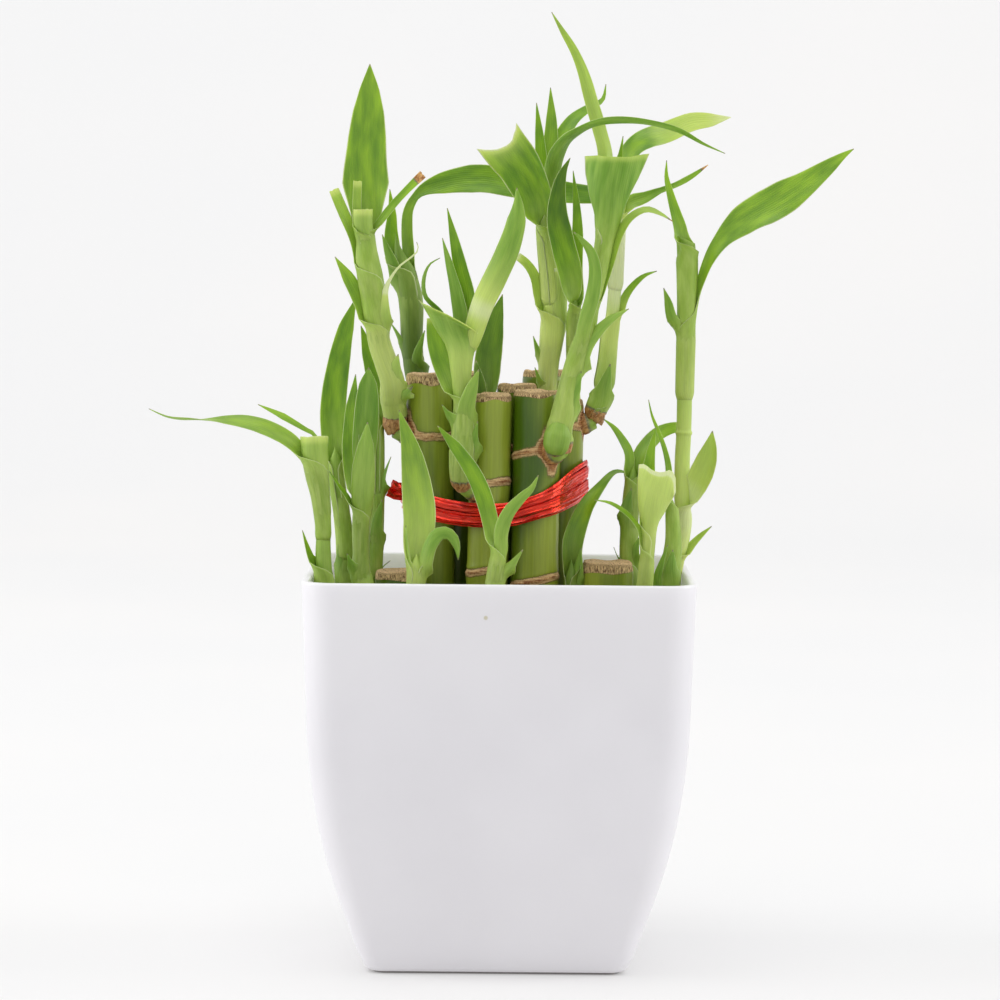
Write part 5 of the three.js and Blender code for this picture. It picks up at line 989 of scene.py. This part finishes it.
def cane_surface(skin, cane, scars, draw):
    """A cane: bark with a ridged, scarred ring at each node, and a rough dried cut end."""
    length = cane.length
    heights = [np.linspace(0, length - 6, 24), np.linspace(length - 6, length - BARK_TOP, 14)]
    heights += [np.linspace(node - 3.2, node + 3.2, 25) for node in cane.nodes]
    heights += [np.linspace(at - 4, at + 4, 13) for at, _, _ in scars]
    up = np.unique(np.clip(np.round(np.concatenate(heights), 3), 0, length - BARK_TOP))
    angle = np.linspace(0, 2 * math.pi, CANE_SIDES, endpoint=False)
    r, rise, ring, dry, edge = cane_bark(cane, scars, *np.meshgrid(angle, up), draw)

    # The cut end, from a worn rim inwards
    shares = FACE_SHARES[:, None]
    lumps = [soft_noise(draw, angle, np.full_like(angle, 3.1 * k), *FACE_NOISE) for k in range(len(shares))]
    face_rise = edge - FACE_DROPS[:, None] + 0.22 * np.array(lumps) * (1 - 0.4 * shares)
    r = np.vstack([r, np.broadcast_to((cane.radius - FACE_INSET) * shares, face_rise.shape)])
    rise = np.vstack([rise, face_rise])
    ring = np.vstack([ring, np.zeros_like(face_rise)])
    dry = np.vstack([dry, np.ones_like(face_rise)])
    cut = np.repeat([0.0, 0.5, 1.0], [len(up), 1, len(shares) - 1])[:, None]

    x, y = r * np.cos(angle), r * np.sin(angle)
    side = unit(np.cross([0.0, 1.0, 0.0], cane.axis))
    other = np.cross(cane.axis, side)
    points = cane.foot + x[..., None] * side + y[..., None] * other + rise[..., None] * cane.axis
    shape = np.where(cut[..., None] > 0, stacked(x, y, FACE_PLANE), stacked(angle * cane.radius, rise, 0.0))
    # Painted light: one side of the cane is paler, and its tone by height is partly the cane's own colour and
    # partly painted shade and painted light.
    paler, pale_side = cane.paler_side_and_light
    tone = np.interp(points[..., 2], *np.array(cane.tone, float).T)
    tone = tone + paler * np.cos(angle - math.radians(pale_side))
    look = stacked(np.clip(ring, 0, 1.2), dry, tone, cut)
    skin.add(points, tube_faces(len(points), CANE_SIDES), shape, look)


# Tie: strands of red foil wound round the tall canes, with a loose end at the left. A strand has a
# level on the band, a lift off it and a height.
TIE_LOW = (-6.0, 116.5)
TIE_RISE = 0.0115
TIE_CLEARANCE = 0.6
TIE_STRANDS = [(-2.35, 0.5, 1.5), (-0.95, 0.85, 1.7), (0.6, 0.55, 1.6), (1.6, 0.95, 1.3), (2.5, 0.4, 1.2)]
TIE_SPOTS = 64
TIE_FOIL = 0.16
TIE_CRUMPLE = 0.05
TIE_END = [(-22.0, 120.8, -9.4), (-24.6, 121.4, -10.6), (-27.2, 121.6, -11.4), (-29.0, 122.4, -11.9)]
TIE_END_LAYERS = ((0.0, 4.6), (0.7, 3.4))
TIE_END_FOIL = 0.2
TIE_END_CRUMPLE = 0.3
FOIL_ROWS = 6


def band_path(canes):
    """The line of a tight band round the tall canes."""
    angle = np.linspace(0, 2 * math.pi, 90, endpoint=False)
    circle = stacked(np.cos(angle), np.sin(angle))
    spots = []
    for name, cane in canes.items():
        if name.startswith("inner"):
            ring = cane.centre(TIE_LOW[1])[:2] + (cane.radius + TIE_CLEARANCE) * circle
            spots += [tuple(spot) for spot in ring]
    spots.sort()

    def chain(points):
        """One side of the outline of sorted points."""
        hull = []
        for p in points:
            while len(hull) > 1:
                (ax, ay), (bx, by) = hull[-2:]
                if (bx - ax) * (p[1] - ay) - (by - ay) * (p[0] - ax) > 0:
                    break
                hull.pop()
            hull.append(p)
        return hull[:-1]

    hull = chain(spots) + chain(spots[::-1])
    return np.array(hull + hull[:1])


def ribbon(skin, line, up, out, height, thick, draw, crumple, closed, spread=1.0):
    """A creased flat ribbon of foil along a line, with its width along up."""
    levels = np.linspace(-0.5, 0.5, FOIL_ROWS)
    count = len(line)
    creases = draw.uniform(-1.0, 1.0, FOIL_ROWS) * height * 0.12 + 0.22 * height * (1 - (2 * levels) ** 2)
    dent = creases + draw.uniform(-1.0, 1.0, (count, FOIL_ROWS)) * crumple
    sway = draw.uniform(-1.0, 1.0, (count, 1)) * crumple * 0.8
    slide = draw.uniform(-0.2, 0.2, (count, 1)) * height / FOIL_ROWS
    rise = levels * height * spread + slide
    front = line[:, None] + up[:, None] * rise[..., None]
    front = front + out[:, None] * (thick / 2 + dent + sway)[..., None]
    back = front - out[:, None] * thick
    ring = np.concatenate([front, back[:, ::-1]], axis=1)
    faces = tube_faces(count, 2 * FOIL_ROWS, capped=not closed, closed=closed)
    shape = stacked(running_length(line)[:, None], np.concatenate([levels, levels[::-1]]) * height, 0.0)
    skin.add(ring, faces, shape, (0, 0, draw.uniform(), 0))


def tie_surface(skin, canes, draw):
    """The tie: strands wound on the band, which fan out to the right, and the loose end."""
    path = band_path(canes)
    reach = running_length(path)
    whole = reach[-1]

    def spot(at):
        return np.stack([np.interp(at, reach, path[:, k]) for k in range(2)], axis=-1)

    for level, lift, height in TIE_STRANDS:
        at = (np.arange(TIE_SPOTS) + draw.uniform(-0.3, 0.3, TIE_SPOTS)) / TIE_SPOTS * whole
        xy = spot(at)
        way = unit(spot((at + 0.5) % whole) - spot((at - 0.5) % whole))
        out = stacked(way[:, 1], -way[:, 0], 0.0)
        fan = 1.0 + 0.55 * smooth((xy[:, 0] - 9) / 11)
        height_at = TIE_LOW[1] + TIE_RISE * (xy[:, 0] - TIE_LOW[0]) ** 2
        weave = 0.3 * np.sin(2 * math.pi * at / whole * draw.integers(3, 6) + draw.uniform(0, 6))
        line = np.column_stack([xy, height_at + level * fan + weave]) + out * (lift + 0.15 * weave[:, None])
        up = np.broadcast_to([0.0, 0.0, 1.0], line.shape)
        ribbon(skin, line, up, out, height * 1.1, TIE_FOIL, draw, TIE_CRUMPLE, True, fan[:, None])
    line, way = Curve([seen(p) for p in TIE_END]).by_length(np.linspace(0, 1, 9))
    for lift, height in TIE_END_LAYERS:
        out = unit(np.cross(way, [0.0, 0.0, 1.0]))
        out = out * np.where(out[:, 1:2] > 0, -1.0, 1.0)
        up = unit(np.cross(out, way))
        up = up * np.where(up[:, 2:] < 0, -1.0, 1.0)
        ribbon(skin, line + out * lift, up, out, height, TIE_END_FOIL, draw, TIE_END_CRUMPLE, False)


# Pot: half widths of its rounded square outline by height, and the radius of its corners
LIP_FOOT = POT_HEIGHT - 0.6
POT_OUTLINE = np.array([
    (0, 31.5, 3.4), (0.8, 32.9, 3.8), (3, 34.3, 4.4), (12, 37.7, 5.4), (24, 41.7, 6.4), (34, 44.4, 7),
    (46, 46.7, 7.5), (62, 48.4, 7.8), (LIP_FOOT, 49.8, 8.2), (POT_HEIGHT, 49.5, 8),
])
POT_LEVELS = [0.0, 0.25, 0.5, 0.8, 1.8, 3, 5, 8, *np.arange(11, 100, 3.0), LIP_FOOT]
POT_LIP = [
    (POT_HEIGHT - 0.3, 0.04), (POT_HEIGHT - 0.08, 0.2), (POT_HEIGHT, 0.45),
    (POT_HEIGHT, POT_WALL - 0.5), (POT_HEIGHT - 0.15, POT_WALL - 0.15),
]
POT_INSIDE = [LIP_FOOT, 96, 90, 84, 78, 70, 55, 40, 25, 12, 2.4]
# The lowest rings carry a painted contact shadow where the pot meets the floor.
CONTACT_SHADOW_RINGS = 3  # these carry the dark line where the pot meets the floor
CORNER_PARTS = 14
SIDE_PARTS = 8


def rounded_square(half, corner, z):
    """A ring of points round a square of this half width, with rounded corners."""
    arcs = []
    for quarter, (sx, sy) in enumerate(((1, 1), (-1, 1), (-1, -1), (1, -1))):
        angle = np.linspace(quarter, quarter + 1, CORNER_PARTS + 1) * math.pi / 2
        arcs.append(np.array([sx, sy]) * (half - corner) + corner * stacked(np.cos(angle), np.sin(angle)))
    share = np.arange(1, SIDE_PARTS)[:, None] / SIDE_PARTS
    points = []
    for arc, after in zip(arcs, arcs[1:] + arcs[:1]):
        points += [arc, arc[-1] + (after[0] - arc[-1]) * share]
    flat = np.concatenate(points)
    return np.column_stack([flat, np.full(len(flat), float(z))])


def pot_at(z):
    """The half width and the corner radius of the pot's outside at a height."""
    heights, halves, corners = POT_OUTLINE.T
    slopes = np.gradient(halves, heights)
    last = len(heights) - 2
    k = int(np.clip(np.searchsorted(heights, z) - 1, 0, last))
    h = heights[k + 1] - heights[k]
    t = (z - heights[k]) / h
    if 0 < k < last - 1:
        half = ((2 * t**3 - 3 * t**2 + 1) * halves[k] + (t**3 - 2 * t**2 + t) * h * slopes[k]
                + (3 * t**2 - 2 * t**3) * halves[k + 1] + (t**3 - t**2) * h * slopes[k + 1])
    else:
        half = halves[k] + (halves[k + 1] - halves[k]) * t
    return half, corners[k] + (corners[k + 1] - corners[k]) * t


def pot_rings(levels):
    """Rings of the pot's form at heights, each moved inwards by its inset."""
    rings = []
    for z, inset in levels:
        half, corner = pot_at(min(z, LIP_FOOT))
        rings.append(rounded_square(half - inset, corner - inset, z))
    return np.array(rings)


def pot_surface(skin):
    inside_from = len(POT_LEVELS) + len(POT_LIP)
    rings = pot_rings([(z, 0.0) for z in POT_LEVELS] + POT_LIP + [(z, POT_WALL) for z in POT_INSIDE])
    # The lowest rings are marked for the painted contact shadow.
    foot = np.arange(len(rings)) < CONTACT_SHADOW_RINGS
    # The inside is marked for painted light: its wall is painted paler than the outside.
    painted_lit_inside = np.arange(len(rings)) >= inside_from
    rows, count = rings.shape[:2]
    look = np.repeat(stacked(foot, painted_lit_inside, 0.0, 0.0), count, axis=0)
    skin.add(rings, tube_faces(rows, count), rings, look)


# Gravel: a rough fill up to its top, with pebbles bedded in it between the canes. A layer of pebbles
# has a top and a spacing.
FILL_LEVELS = [2.7, 12, 24, 34, 46, 62, 70.5]
PEBBLE_LAYERS = ((FILL_TOP - 3.4, 4.3), (FILL_TOP - 2.1, 4.6))
PEBBLE_SIZES = (1.7, 2.6)
PEBBLE_SHIFT = 1.3
PEBBLE_RISE = 0.7
FILL_CORNER = 6.0


def pebble(skin, centre, size, draw, ball):
    """A ball stretched, turned and made uneven."""
    points, faces = ball
    stretch = draw.uniform(0.72, 1.15, 3) * size
    stretch[2] *= 0.8
    w, x, y, z = unit(draw.normal(size=4))
    turn = np.array([
        [1 - 2 * (y * y + z * z), 2 * (x * y - z * w), 2 * (x * z + y * w)],
        [2 * (x * y + z * w), 1 - 2 * (x * x + z * z), 2 * (y * z - x * w)],
        [2 * (x * z - y * w), 2 * (y * z + x * w), 1 - 2 * (x * x + y * y)],
    ])
    waves = draw.normal(size=(3, 3)) * 1.6
    bumps = 1 + 0.07 * np.sin(points @ waves.T + draw.uniform(0, 6, 3)).sum(axis=1, keepdims=True)
    shaped = points * bumps * stretch @ turn.T
    skin.add(shaped + centre, faces, shaped, (0, 0, draw.uniform(), draw.uniform()))


def unit_ball():
    work = bmesh.new()
    bmesh.ops.create_icosphere(work, subdivisions=2, radius=1.0)
    points = np.array([v.co[:] for v in work.verts])
    faces = [tuple(v.index for v in f.verts) for f in work.faces]
    work.free()
    return points, faces


def gravel_surface(skin, canes, draw):
    inset = POT_WALL + GAP
    rings = pot_rings([(z, inset) for z in FILL_LEVELS])
    skin.add(rings, tube_faces(*rings.shape[:2]), rings, (0, 0, 0.2, 0.5))
    ball = unit_ball()
    half = pot_at(FILL_TOP)[0] - inset
    for top, spacing in PEBBLE_LAYERS:
        grid = np.arange(-half, half, spacing)
        for x in grid:
            for y in grid:
                spot = np.array([x, y]) + draw.uniform(-PEBBLE_SHIFT, PEBBLE_SHIFT, 2)
                size = draw.uniform(*PEBBLE_SIZES)
                corner = np.maximum(np.abs(spot) - (half - size - 0.4 - FILL_CORNER), 0.0)
                if np.hypot(*corner) > FILL_CORNER:
                    continue
                near = min(np.hypot(*(c.centre(FILL_TOP)[:2] - spot)) - c.radius for c in canes.values())
                if near < 0.75 * size:
                    continue
                height = top + draw.uniform(-PEBBLE_RISE, PEBBLE_RISE)
                pebble(skin, np.array([*spot, height]), size, draw, ball)


# Materials
def linear(*screen):
    """A colour given as 0 to 255 on a screen, as the shader wants it."""
    parts = [c / 255 for c in screen]
    return (*[c / 12.92 if c <= 0.04045 else ((c + 0.055) / 1.055) ** 2.4 for c in parts], 1.0)


class Graph:
    """A material's nodes. An input is a plain value, or another node's output."""

    def __init__(self, name):
        self.material = bpy.data.materials.new(name)
        self.material.use_nodes = True
        self.tree = self.material.node_tree

    def fill(self, node, inputs):
        for key, value in inputs.items():
            if isinstance(value, bpy.types.NodeSocket):
                self.tree.links.new(value, node.inputs[key])
            else:
                node.inputs[key].default_value = value
        return node

    def finish(self, inputs):
        """Sets the inputs of the shader by their names and returns the material."""
        self.fill(self.tree.nodes["Principled BSDF"], inputs)
        return self.material

    def node(self, kind, inputs=None, **settings):
        node = self.tree.nodes.new("ShaderNode" + kind)
        for key, value in settings.items():
            setattr(node, key, value)
        return self.fill(node, inputs or {})

    def math(self, operation, a, b=0.0, clamp=False):
        return self.node("Math", {0: a, 1: b}, operation=operation, use_clamp=clamp).outputs[0]

    def times(self, a, b, clamp=False):
        return self.math("MULTIPLY", a, b, clamp)

    def plus(self, a, b):
        return self.math("ADD", a, b)

    def swing(self, value, size):
        """A noise value, which is 0 to 1, as one that goes up and down by half the size."""
        return self.times(self.math("SUBTRACT", value, 0.5), size)

    def mix(self, share, a, b, blend="MIX"):
        """Two colours mixed by a share. A plain colour is given as linear wants it."""
        a, b = (linear(*c) if isinstance(c, tuple) else c for c in (a, b))
        return self.node("Mix", {0: share, 6: a, 7: b}, data_type="RGBA", blend_type=blend).outputs[2]

    def remap(self, value, low, high, to_low=0.0, to_high=1.0):
        inputs = {"Value": value, "From Min": low, "From Max": high, "To Min": to_low, "To Max": to_high}
        return self.node("MapRange", inputs, interpolation_type="SMOOTHSTEP").outputs[0]

    def ramp(self, value, low, high, a, b):
        """The first colour up to the low value and the second from the high one."""
        return self.mix(self.remap(value, low, high), a, b)

    def streaked(self, colour, share, streak):
        """A colour multiplied by a grey."""
        grey = self.node("CombineColor", {0: streak, 1: streak, 2: streak}).outputs[0]
        return self.mix(share, colour, grey, "MULTIPLY")

    def stretch(self, vector, scale):
        return self.node("VectorMath", {0: vector, 1: scale}, operation="MULTIPLY").outputs[0]

    def noise(self, vector, scale, detail=3.0, roughness=0.55):
        """Noise with one scale, or with a scale for each axis of the vector."""
        if isinstance(scale, tuple):
            vector, scale = self.stretch(vector, scale), 1.0
        inputs = {"Vector": vector, "Scale": scale, "Detail": detail, "Roughness": roughness}
        return self.node("TexNoise", inputs).outputs[0]

    def shape(self):
        """The attribute "shape", whole and as its three parts."""
        vector = self.node("Attribute", attribute_name="shape").outputs["Vector"]
        return vector, self.node("SeparateXYZ", {0: vector}).outputs

    def look(self):
        """The four parts of the attribute "look"."""
        node = self.node("Attribute", attribute_name="look")
        parts = self.node("SeparateColor", {0: node.outputs["Color"]}).outputs
        return parts[0], parts[1], parts[2], node.outputs["Alpha"]

    def bump(self, height, strength, distance):
        return self.node("Bump", {"Height": height, "Strength": strength, "Distance": distance}).outputs[0]


def leaf_material():
    g = Graph("shoot_leaf")
    vector, (across, _, margin) = g.shape()
    under, dry, tone, pale = g.look()
    fine = g.noise(vector, (4.2, 0.16, 0.0), 2.0)
    broad = g.noise(vector, (0.5, 0.06, 0.0), 2.0)
    patchy = g.noise(vector, (0.35, 0.12, 0.0), 3.0)
    cloud = g.noise(vector, (0.16, 0.07, 0.0), 2.0)
    spots = g.noise(vector, (0.9, 0.5, 0.0), 5.0, 0.7)

    # The fresh greens: upper side, lower side and stalk
    # The upper side's pale blotches are partly the leaf's own mottling and partly painted soft highlights.
    mottling_and_sheen = g.plus(g.times(broad, 0.35), g.times(cloud, 0.65))
    upper = g.ramp(mottling_and_sheen, 0.36, 0.64, (88, 134, 2), (138, 178, 24))
    lower = g.ramp(broad, 0.3, 0.7, (100, 144, 30), (134, 170, 62))
    stalk = g.ramp(patchy, 0.3, 0.75, (140, 172, 56), (170, 195, 92))
    colour = g.mix(g.times(pale, 0.9), g.mix(under, upper, lower), stalk)

    # Darker and paler parts by tone, partly the leaf's own colour and partly painted shade and painted light,
    # the palest being whitish, partly a painted sheen; then veins and the pale margin
    darker = g.mix(1.0, colour, (146, 163, 100), "MULTIPLY")
    colour = g.mix(g.remap(tone, 0.0, 0.5, 1.0, 0.0), colour, darker)
    colour = g.mix(g.times(g.remap(tone, 0.5, 0.95), 0.85), colour, (203, 221, 116))
    colour = g.mix(g.remap(tone, 0.9, 1.0, 0.0, 0.65), colour, (224, 232, 186))
    colour = g.streaked(colour, 0.8, g.remap(fine, 0.25, 0.75, 0.92, 1.08))
    colour = g.mix(g.times(g.remap(margin, 0.93, 0.995), 0.75), colour, (206, 218, 158))

    # Withered tips, grey first and then brown
    wither = g.times(dry, 2.0, clamp=True)
    worn = g.remap(g.plus(wither, g.swing(spots, 0.9)), 0.4, 0.8)
    worn = g.times(worn, g.remap(wither, 0.02, 0.3))
    grey = g.ramp(spots, 0.35, 0.65, (84, 88, 56), (150, 146, 104))
    brown = g.ramp(spots, 0.35, 0.65, (140, 84, 36), (214, 164, 104))
    colour = g.mix(worn, colour, g.ramp(dry, 0.5, 0.8, grey, brown))
    ribs = g.math("SINE", g.times(across, 11.0))
    return g.finish({
        "Base Color": colour, "Specular IOR Level": 0.45,
        "Roughness": g.remap(g.plus(g.times(under, 0.25), fine), 0.2, 1.1, 0.34, 0.62),
        "Subsurface Weight": 0.22, "Subsurface Radius": (0.8, 1.0, 0.25), "Subsurface Scale": 0.0012,
        "Normal": g.bump(g.plus(g.times(ribs, 0.4), fine), 0.25, 0.00012),
    })


def cane_material():
    g = Graph("cane_bark")
    vector, _ = g.shape()
    ring, dry, tone, cut = g.look()
    streaks = g.noise(vector, (1.6, 0.05, 0.3), 4.0, 0.6)
    broad = g.noise(vector, (0.18, 0.04, 0.3), 2.0)
    grain = g.noise(vector, (3.0, 1.1, 1.0), 5.0, 0.7)
    papers = g.noise(vector, (0.35, 2.6, 1.0), 5.0, 0.7)
    fibres = g.noise(vector, (2.4, 0.7, 1.0), 5.0, 0.75)
    pores = g.node("TexVoronoi", {"Vector": g.stretch(vector, (1.7, 1.7, 1.0)), "Scale": 1.0}).outputs[0]

    # Green bark with streaks and flecks; its tone is partly the cane's own colour and partly painted shade
    # and painted light
    bark = g.ramp(g.plus(tone, g.swing(broad, 0.9)), 0.0, 1.0, (68, 98, 4), (150, 166, 52))
    bark = g.streaked(bark, 0.75, g.remap(streaks, 0.25, 0.75, 0.82, 1.12))
    bark = g.mix(g.times(g.remap(grain, 0.66, 0.78), 0.22), bark, (168, 168, 112))

    # The rings at the nodes: an olive edge, papery husk and a dark scar
    rough_edge = g.swing(grain, 0.8)
    worn = g.plus(ring, rough_edge)
    scarred = g.remap(worn, 0.5, 0.62)
    colour = g.mix(g.remap(worn, 0.28, 0.5), bark, (110, 104, 44))
    colour = g.mix(scarred, colour, g.ramp(papers, 0.3, 0.6, (148, 98, 52), (222, 188, 136)))
    scar = g.ramp(papers, 0.36, 0.68, (104, 52, 20), (196, 140, 84))
    colour = g.mix(g.remap(worn, 0.8, 1.1), colour, scar)

    # Dried wood under the cut, and the cut face with its pores
    dead = g.remap(g.plus(dry, rough_edge), 0.4, 0.62)
    colour = g.mix(dead, colour, g.ramp(fibres, 0.36, 0.62, (84, 48, 20), (228, 196, 142)))
    face = g.ramp(pores, 0.12, 0.42, (96, 62, 34), (216, 184, 136))
    face = g.mix(g.times(g.remap(grain, 0.4, 0.7), 0.5), face, (132, 98, 64))
    on_cut = g.remap(cut, 0.3, 0.7)
    papery = g.math("MAXIMUM", g.math("MAXIMUM", scarred, dead), on_cut)
    height = g.plus(g.times(streaks, 0.25), g.times(papery, grain))
    return g.finish({
        "Base Color": g.mix(on_cut, colour, face), "Specular IOR Level": 0.5,
        "Roughness": g.remap(g.plus(papery, g.times(streaks, 0.2)), 0.0, 1.1, 0.3, 0.85),
        "Normal": g.bump(height, 0.6, 0.0004),
    })


def foil_material():
    g = Graph("tie_foil")
    vector, _ = g.shape()
    creases = g.noise(vector, (0.4, 1.2, 1.0), 3.0, 0.6)
    fine = g.noise(vector, (0.12, 5.0, 1.0), 2.0)
    return g.finish({
        "Base Color": g.ramp(fine, 0.35, 0.65, (200, 16, 8), (252, 72, 48)), "Metallic": 0.9,
        "Roughness": g.remap(creases, 0.3, 0.75, 0.14, 0.3),
        "Coat Weight": 0.35, "Coat Roughness": 0.08,
        "Normal": g.bump(g.plus(creases, g.times(fine, 0.8)), 0.4, 0.0004),
    })


POT_SPECK = (-3.3, -49.5, 93.2)  # one small stain on the front


def pot_material():
    g = Graph("pot_plastic")
    vector, _ = g.shape()
    foot, painted_lit_inside, _, _ = g.look()
    broad = g.noise(vector, (0.02, 0.02, 0.02), 2.0)
    texture = g.noise(vector, (1.6, 1.6, 1.6), 3.0)
    speck = g.node("VectorMath", {0: vector, 1: POT_SPECK}, operation="DISTANCE").outputs["Value"]
    colour = g.ramp(broad, 0.35, 0.65, (232, 230, 234), (236, 234, 238))
    colour = g.ramp(speck, 0.7, 0.3, colour, (206, 200, 178))
    # Painted light: the inner wall is paler than the outside, as if light shone through the thin wall.
    colour = g.mix(painted_lit_inside, colour, (252, 251, 249))
    return g.finish({
        # Painted contact shadow: the lowest rings turn dark grey where the pot meets the floor.
        "Base Color": g.ramp(foot, 0.35, 0.65, colour, (118, 112, 111)),
        "Roughness": g.remap(texture, 0.3, 0.7, 0.3, 0.4),
        "Specular IOR Level": 0.5, "Coat Weight": 0.15, "Coat Roughness": 0.2,
        "Subsurface Weight": 0.5, "Subsurface Radius": (1.0, 1.0, 1.0), "Subsurface Scale": 0.003,
        "Normal": g.bump(texture, 0.08, 0.0001),
    })


def gravel_material():
    g = Graph("gravel_stone")
    vector, _ = g.shape()
    _, _, tone, hue = g.look()
    grain = g.noise(vector, 1.3, 6.0, 0.7)
    warm = g.mix(tone, (150, 134, 112), (226, 214, 190))
    cool = g.mix(tone, (132, 128, 122), (212, 208, 198))
    colour = g.ramp(hue, 0.35, 0.65, warm, cool)
    return g.finish({
        "Base Color": g.ramp(grain, 0.45, 0.75, colour, (92, 78, 62)),
        "Roughness": g.remap(grain, 0.2, 0.8, 0.6, 0.9),
        "Normal": g.bump(grain, 0.5, 0.0005),
    })


def floor_material():
    g = Graph("floor")
    place = g.node("TexCoord").outputs["Object"]
    return g.finish({
        "Base Color": g.ramp(g.noise(place, 3.0, 2.0), 0.3, 0.7, (196, 196, 196), (199, 198, 197)),
        "Roughness": 0.6, "Specular IOR Level": 0.2,
        "Emission Color": (1.0, 0.995, 0.99, 1.0), "Emission Strength": 0.28,
    })


# The plant. Each piece draws its random values from a seed of its own.
GRAVEL_SEED = 11
TIE_SEED = 5
CANE_SEED = 100
SHOOT_SEED = 1000
SHEATH_LIFT = 0.06
SHEATH_LAYER = 0.11  # a leaf's sheath goes over those of the leaves above it
MOST_LAYERS = 4
OWN_SCAR = 0.8

for number, plan in enumerate(BACK_SHOOTS, 1):
    SHOOTS[f"shoot_back_{number}"] = grow_back_shoot(*plan)
canes = cane_list()

pot_skin = Skin()
pot_surface(pot_skin)
pot_skin.build("pot_shell", "pot", pot_material())

gravel_skin = Skin()
gravel_surface(gravel_skin, canes, np.random.default_rng(GRAVEL_SEED))
gravel_skin.build("gravel_bed", "gravel", gravel_material())

bark = cane_material()
for number, (name, cane) in enumerate(canes.items()):
    scars = []
    for cane_name, azimuth, height, radius in (shoot["root"] for shoot in SHOOTS.values()):
        if cane_name == name:
            reach = (height - cane.foot[2]) / cane.axis[2]
            scars.append((reach - 0.5, azimuth - 90.0, radius * 1.5 + 0.5))
    cane_skin = Skin()
    cane_surface(cane_skin, cane, scars, np.random.default_rng(CANE_SEED + number))
    cane_skin.build(f"{name}_bark", name, bark)

tie_skin = Skin()
tie_surface(tie_skin, canes, np.random.default_rng(TIE_SEED))
tie_skin.build("tie_foil", "tie", foil_material(), flat=True)

green = leaf_material()
for number, (name, shoot) in enumerate(SHOOTS.items()):
    draw = np.random.default_rng(SHOOT_SEED + number)
    skin = Skin()
    root, leaves = shoot["root"], shoot["leaves"]
    stem = Stem(root_points(root, canes) + shoot["stem"], shoot.get("tone", 0.0), shoot.get("scar", OWN_SCAR))
    last = max(leaf["at"] for leaf in leaves)
    stem_surface(skin, stem, shoot.get("rings", ()), last, shoot.get("blunt", False))
    if "knob" in shoot:
        knob_surface(skin, *shoot["knob"])
    base_surface(skin, root, canes)
    for leaf in leaves:
        above = sum(other["at"] > leaf["at"] for other in leaves)
        leaf_surface(skin, leaf, stem, SHEATH_LIFT + SHEATH_LAYER * min(above, MOST_LAYERS), draw)
    skin.build(f"{name}_leaves", name, green)

# Floor, which bends up into the backdrop. These and all that follow are in metres.
FLOOR_SIDE = 9.0
BEND_START = 1.2
BEND_RADIUS = 0.8
BACKDROP_TOP = 3.0

rows = [(-FLOOR_SIDE, 0.0), (BEND_START, 0.0)]
for turn in np.linspace(0, math.pi / 2, 13)[1:]:
    rows.append((BEND_START + BEND_RADIUS * math.sin(turn), BEND_RADIUS - BEND_RADIUS * math.cos(turn)))
rows.append((BEND_START + BEND_RADIUS, BACKDROP_TOP))
floor_mesh = bpy.data.meshes.new("floor")
floor_mesh.from_pydata(
    [(x, y, z) for y, z in rows for x in (-FLOOR_SIDE, FLOOR_SIDE)], [],
    [(2 * k, 2 * k + 1, 2 * k + 3, 2 * k + 2) for k in range(len(rows) - 1)])
for polygon in floor_mesh.polygons:
    polygon.use_smooth = True
floor_mesh.materials.append(floor_material())
floor = bpy.data.objects.new("floor", floor_mesh)
bpy.context.scene.collection.objects.link(floor)

# Light
WORLD_COLOUR = (0.98, 0.985, 1.0, 1.0)
WORLD_STRENGTH = 0.74
SIDE_SIZE = (0.9, 1.1)
SIDE_AIM = (0, 0, 0.12)

world = bpy.data.worlds.new("studio")
world.use_nodes = True
background = world.node_tree.nodes["Background"].inputs
background["Color"].default_value = WORLD_COLOUR
background["Strength"].default_value = WORLD_STRENGTH
bpy.context.scene.world = world


def stand(name, data, place, aim, roll=0.0):
    """Links an object that looks from a place at an aim, and rolls it, in degrees."""
    piece = bpy.data.objects.new(name, data)
    bpy.context.scene.collection.objects.link(piece)
    place = np.array(place, float)
    back = unit(place - np.array(aim, float))
    right = unit(np.cross([0.0, 0.0, 1.0], back))
    above = np.cross(back, right)
    c, s = math.cos(math.radians(roll)), math.sin(math.radians(roll))
    axes = zip(right * c + above * s, above * c - right * s, back, place)
    piece.matrix_world = Matrix([*axes, (0, 0, 0, 1)])
    return piece


def area_light(name, place, aim, size, power):
    light = bpy.data.lights.new(name, "AREA")
    light.shape = "RECTANGLE"
    light.size, light.size_y = size
    light.energy = power
    stand(name, light, place, aim)


area_light("left_softbox", (-1.7, 0.05, 0.75), SIDE_AIM, SIDE_SIZE, 12.1)
area_light("right_softbox", (1.7, 0.05, 0.75), SIDE_AIM, SIDE_SIZE, 9.8)
area_light("top_softbox", (-0.1, -0.35, 1.2), (0, 0, 0.1), (0.8, 0.6), 3.2)
area_light("backdrop_softbox", (0, 0.7, 1.7), (0, 2.0, 0.7), (2.4, 0.5), 8.2)

# Camera
CAMERA_AIM = 0.1194
CAMERA_LENS = 144.72
CAMERA_ROLL = 0.5  # the photograph leans a little

camera_data = bpy.data.cameras.new("camera")
camera_data.sensor_width = 36.0
camera_data.lens = CAMERA_LENS
camera_data.clip_start, camera_data.clip_end = 0.05, 20.0
eye = (0, -EYE_DISTANCE * MM, EYE_HEIGHT * MM)
bpy.context.scene.camera = stand("camera", camera_data, eye, (0, 0, CAMERA_AIM), CAMERA_ROLL)
bpy.context.scene.view_settings.view_transform = "Standard"
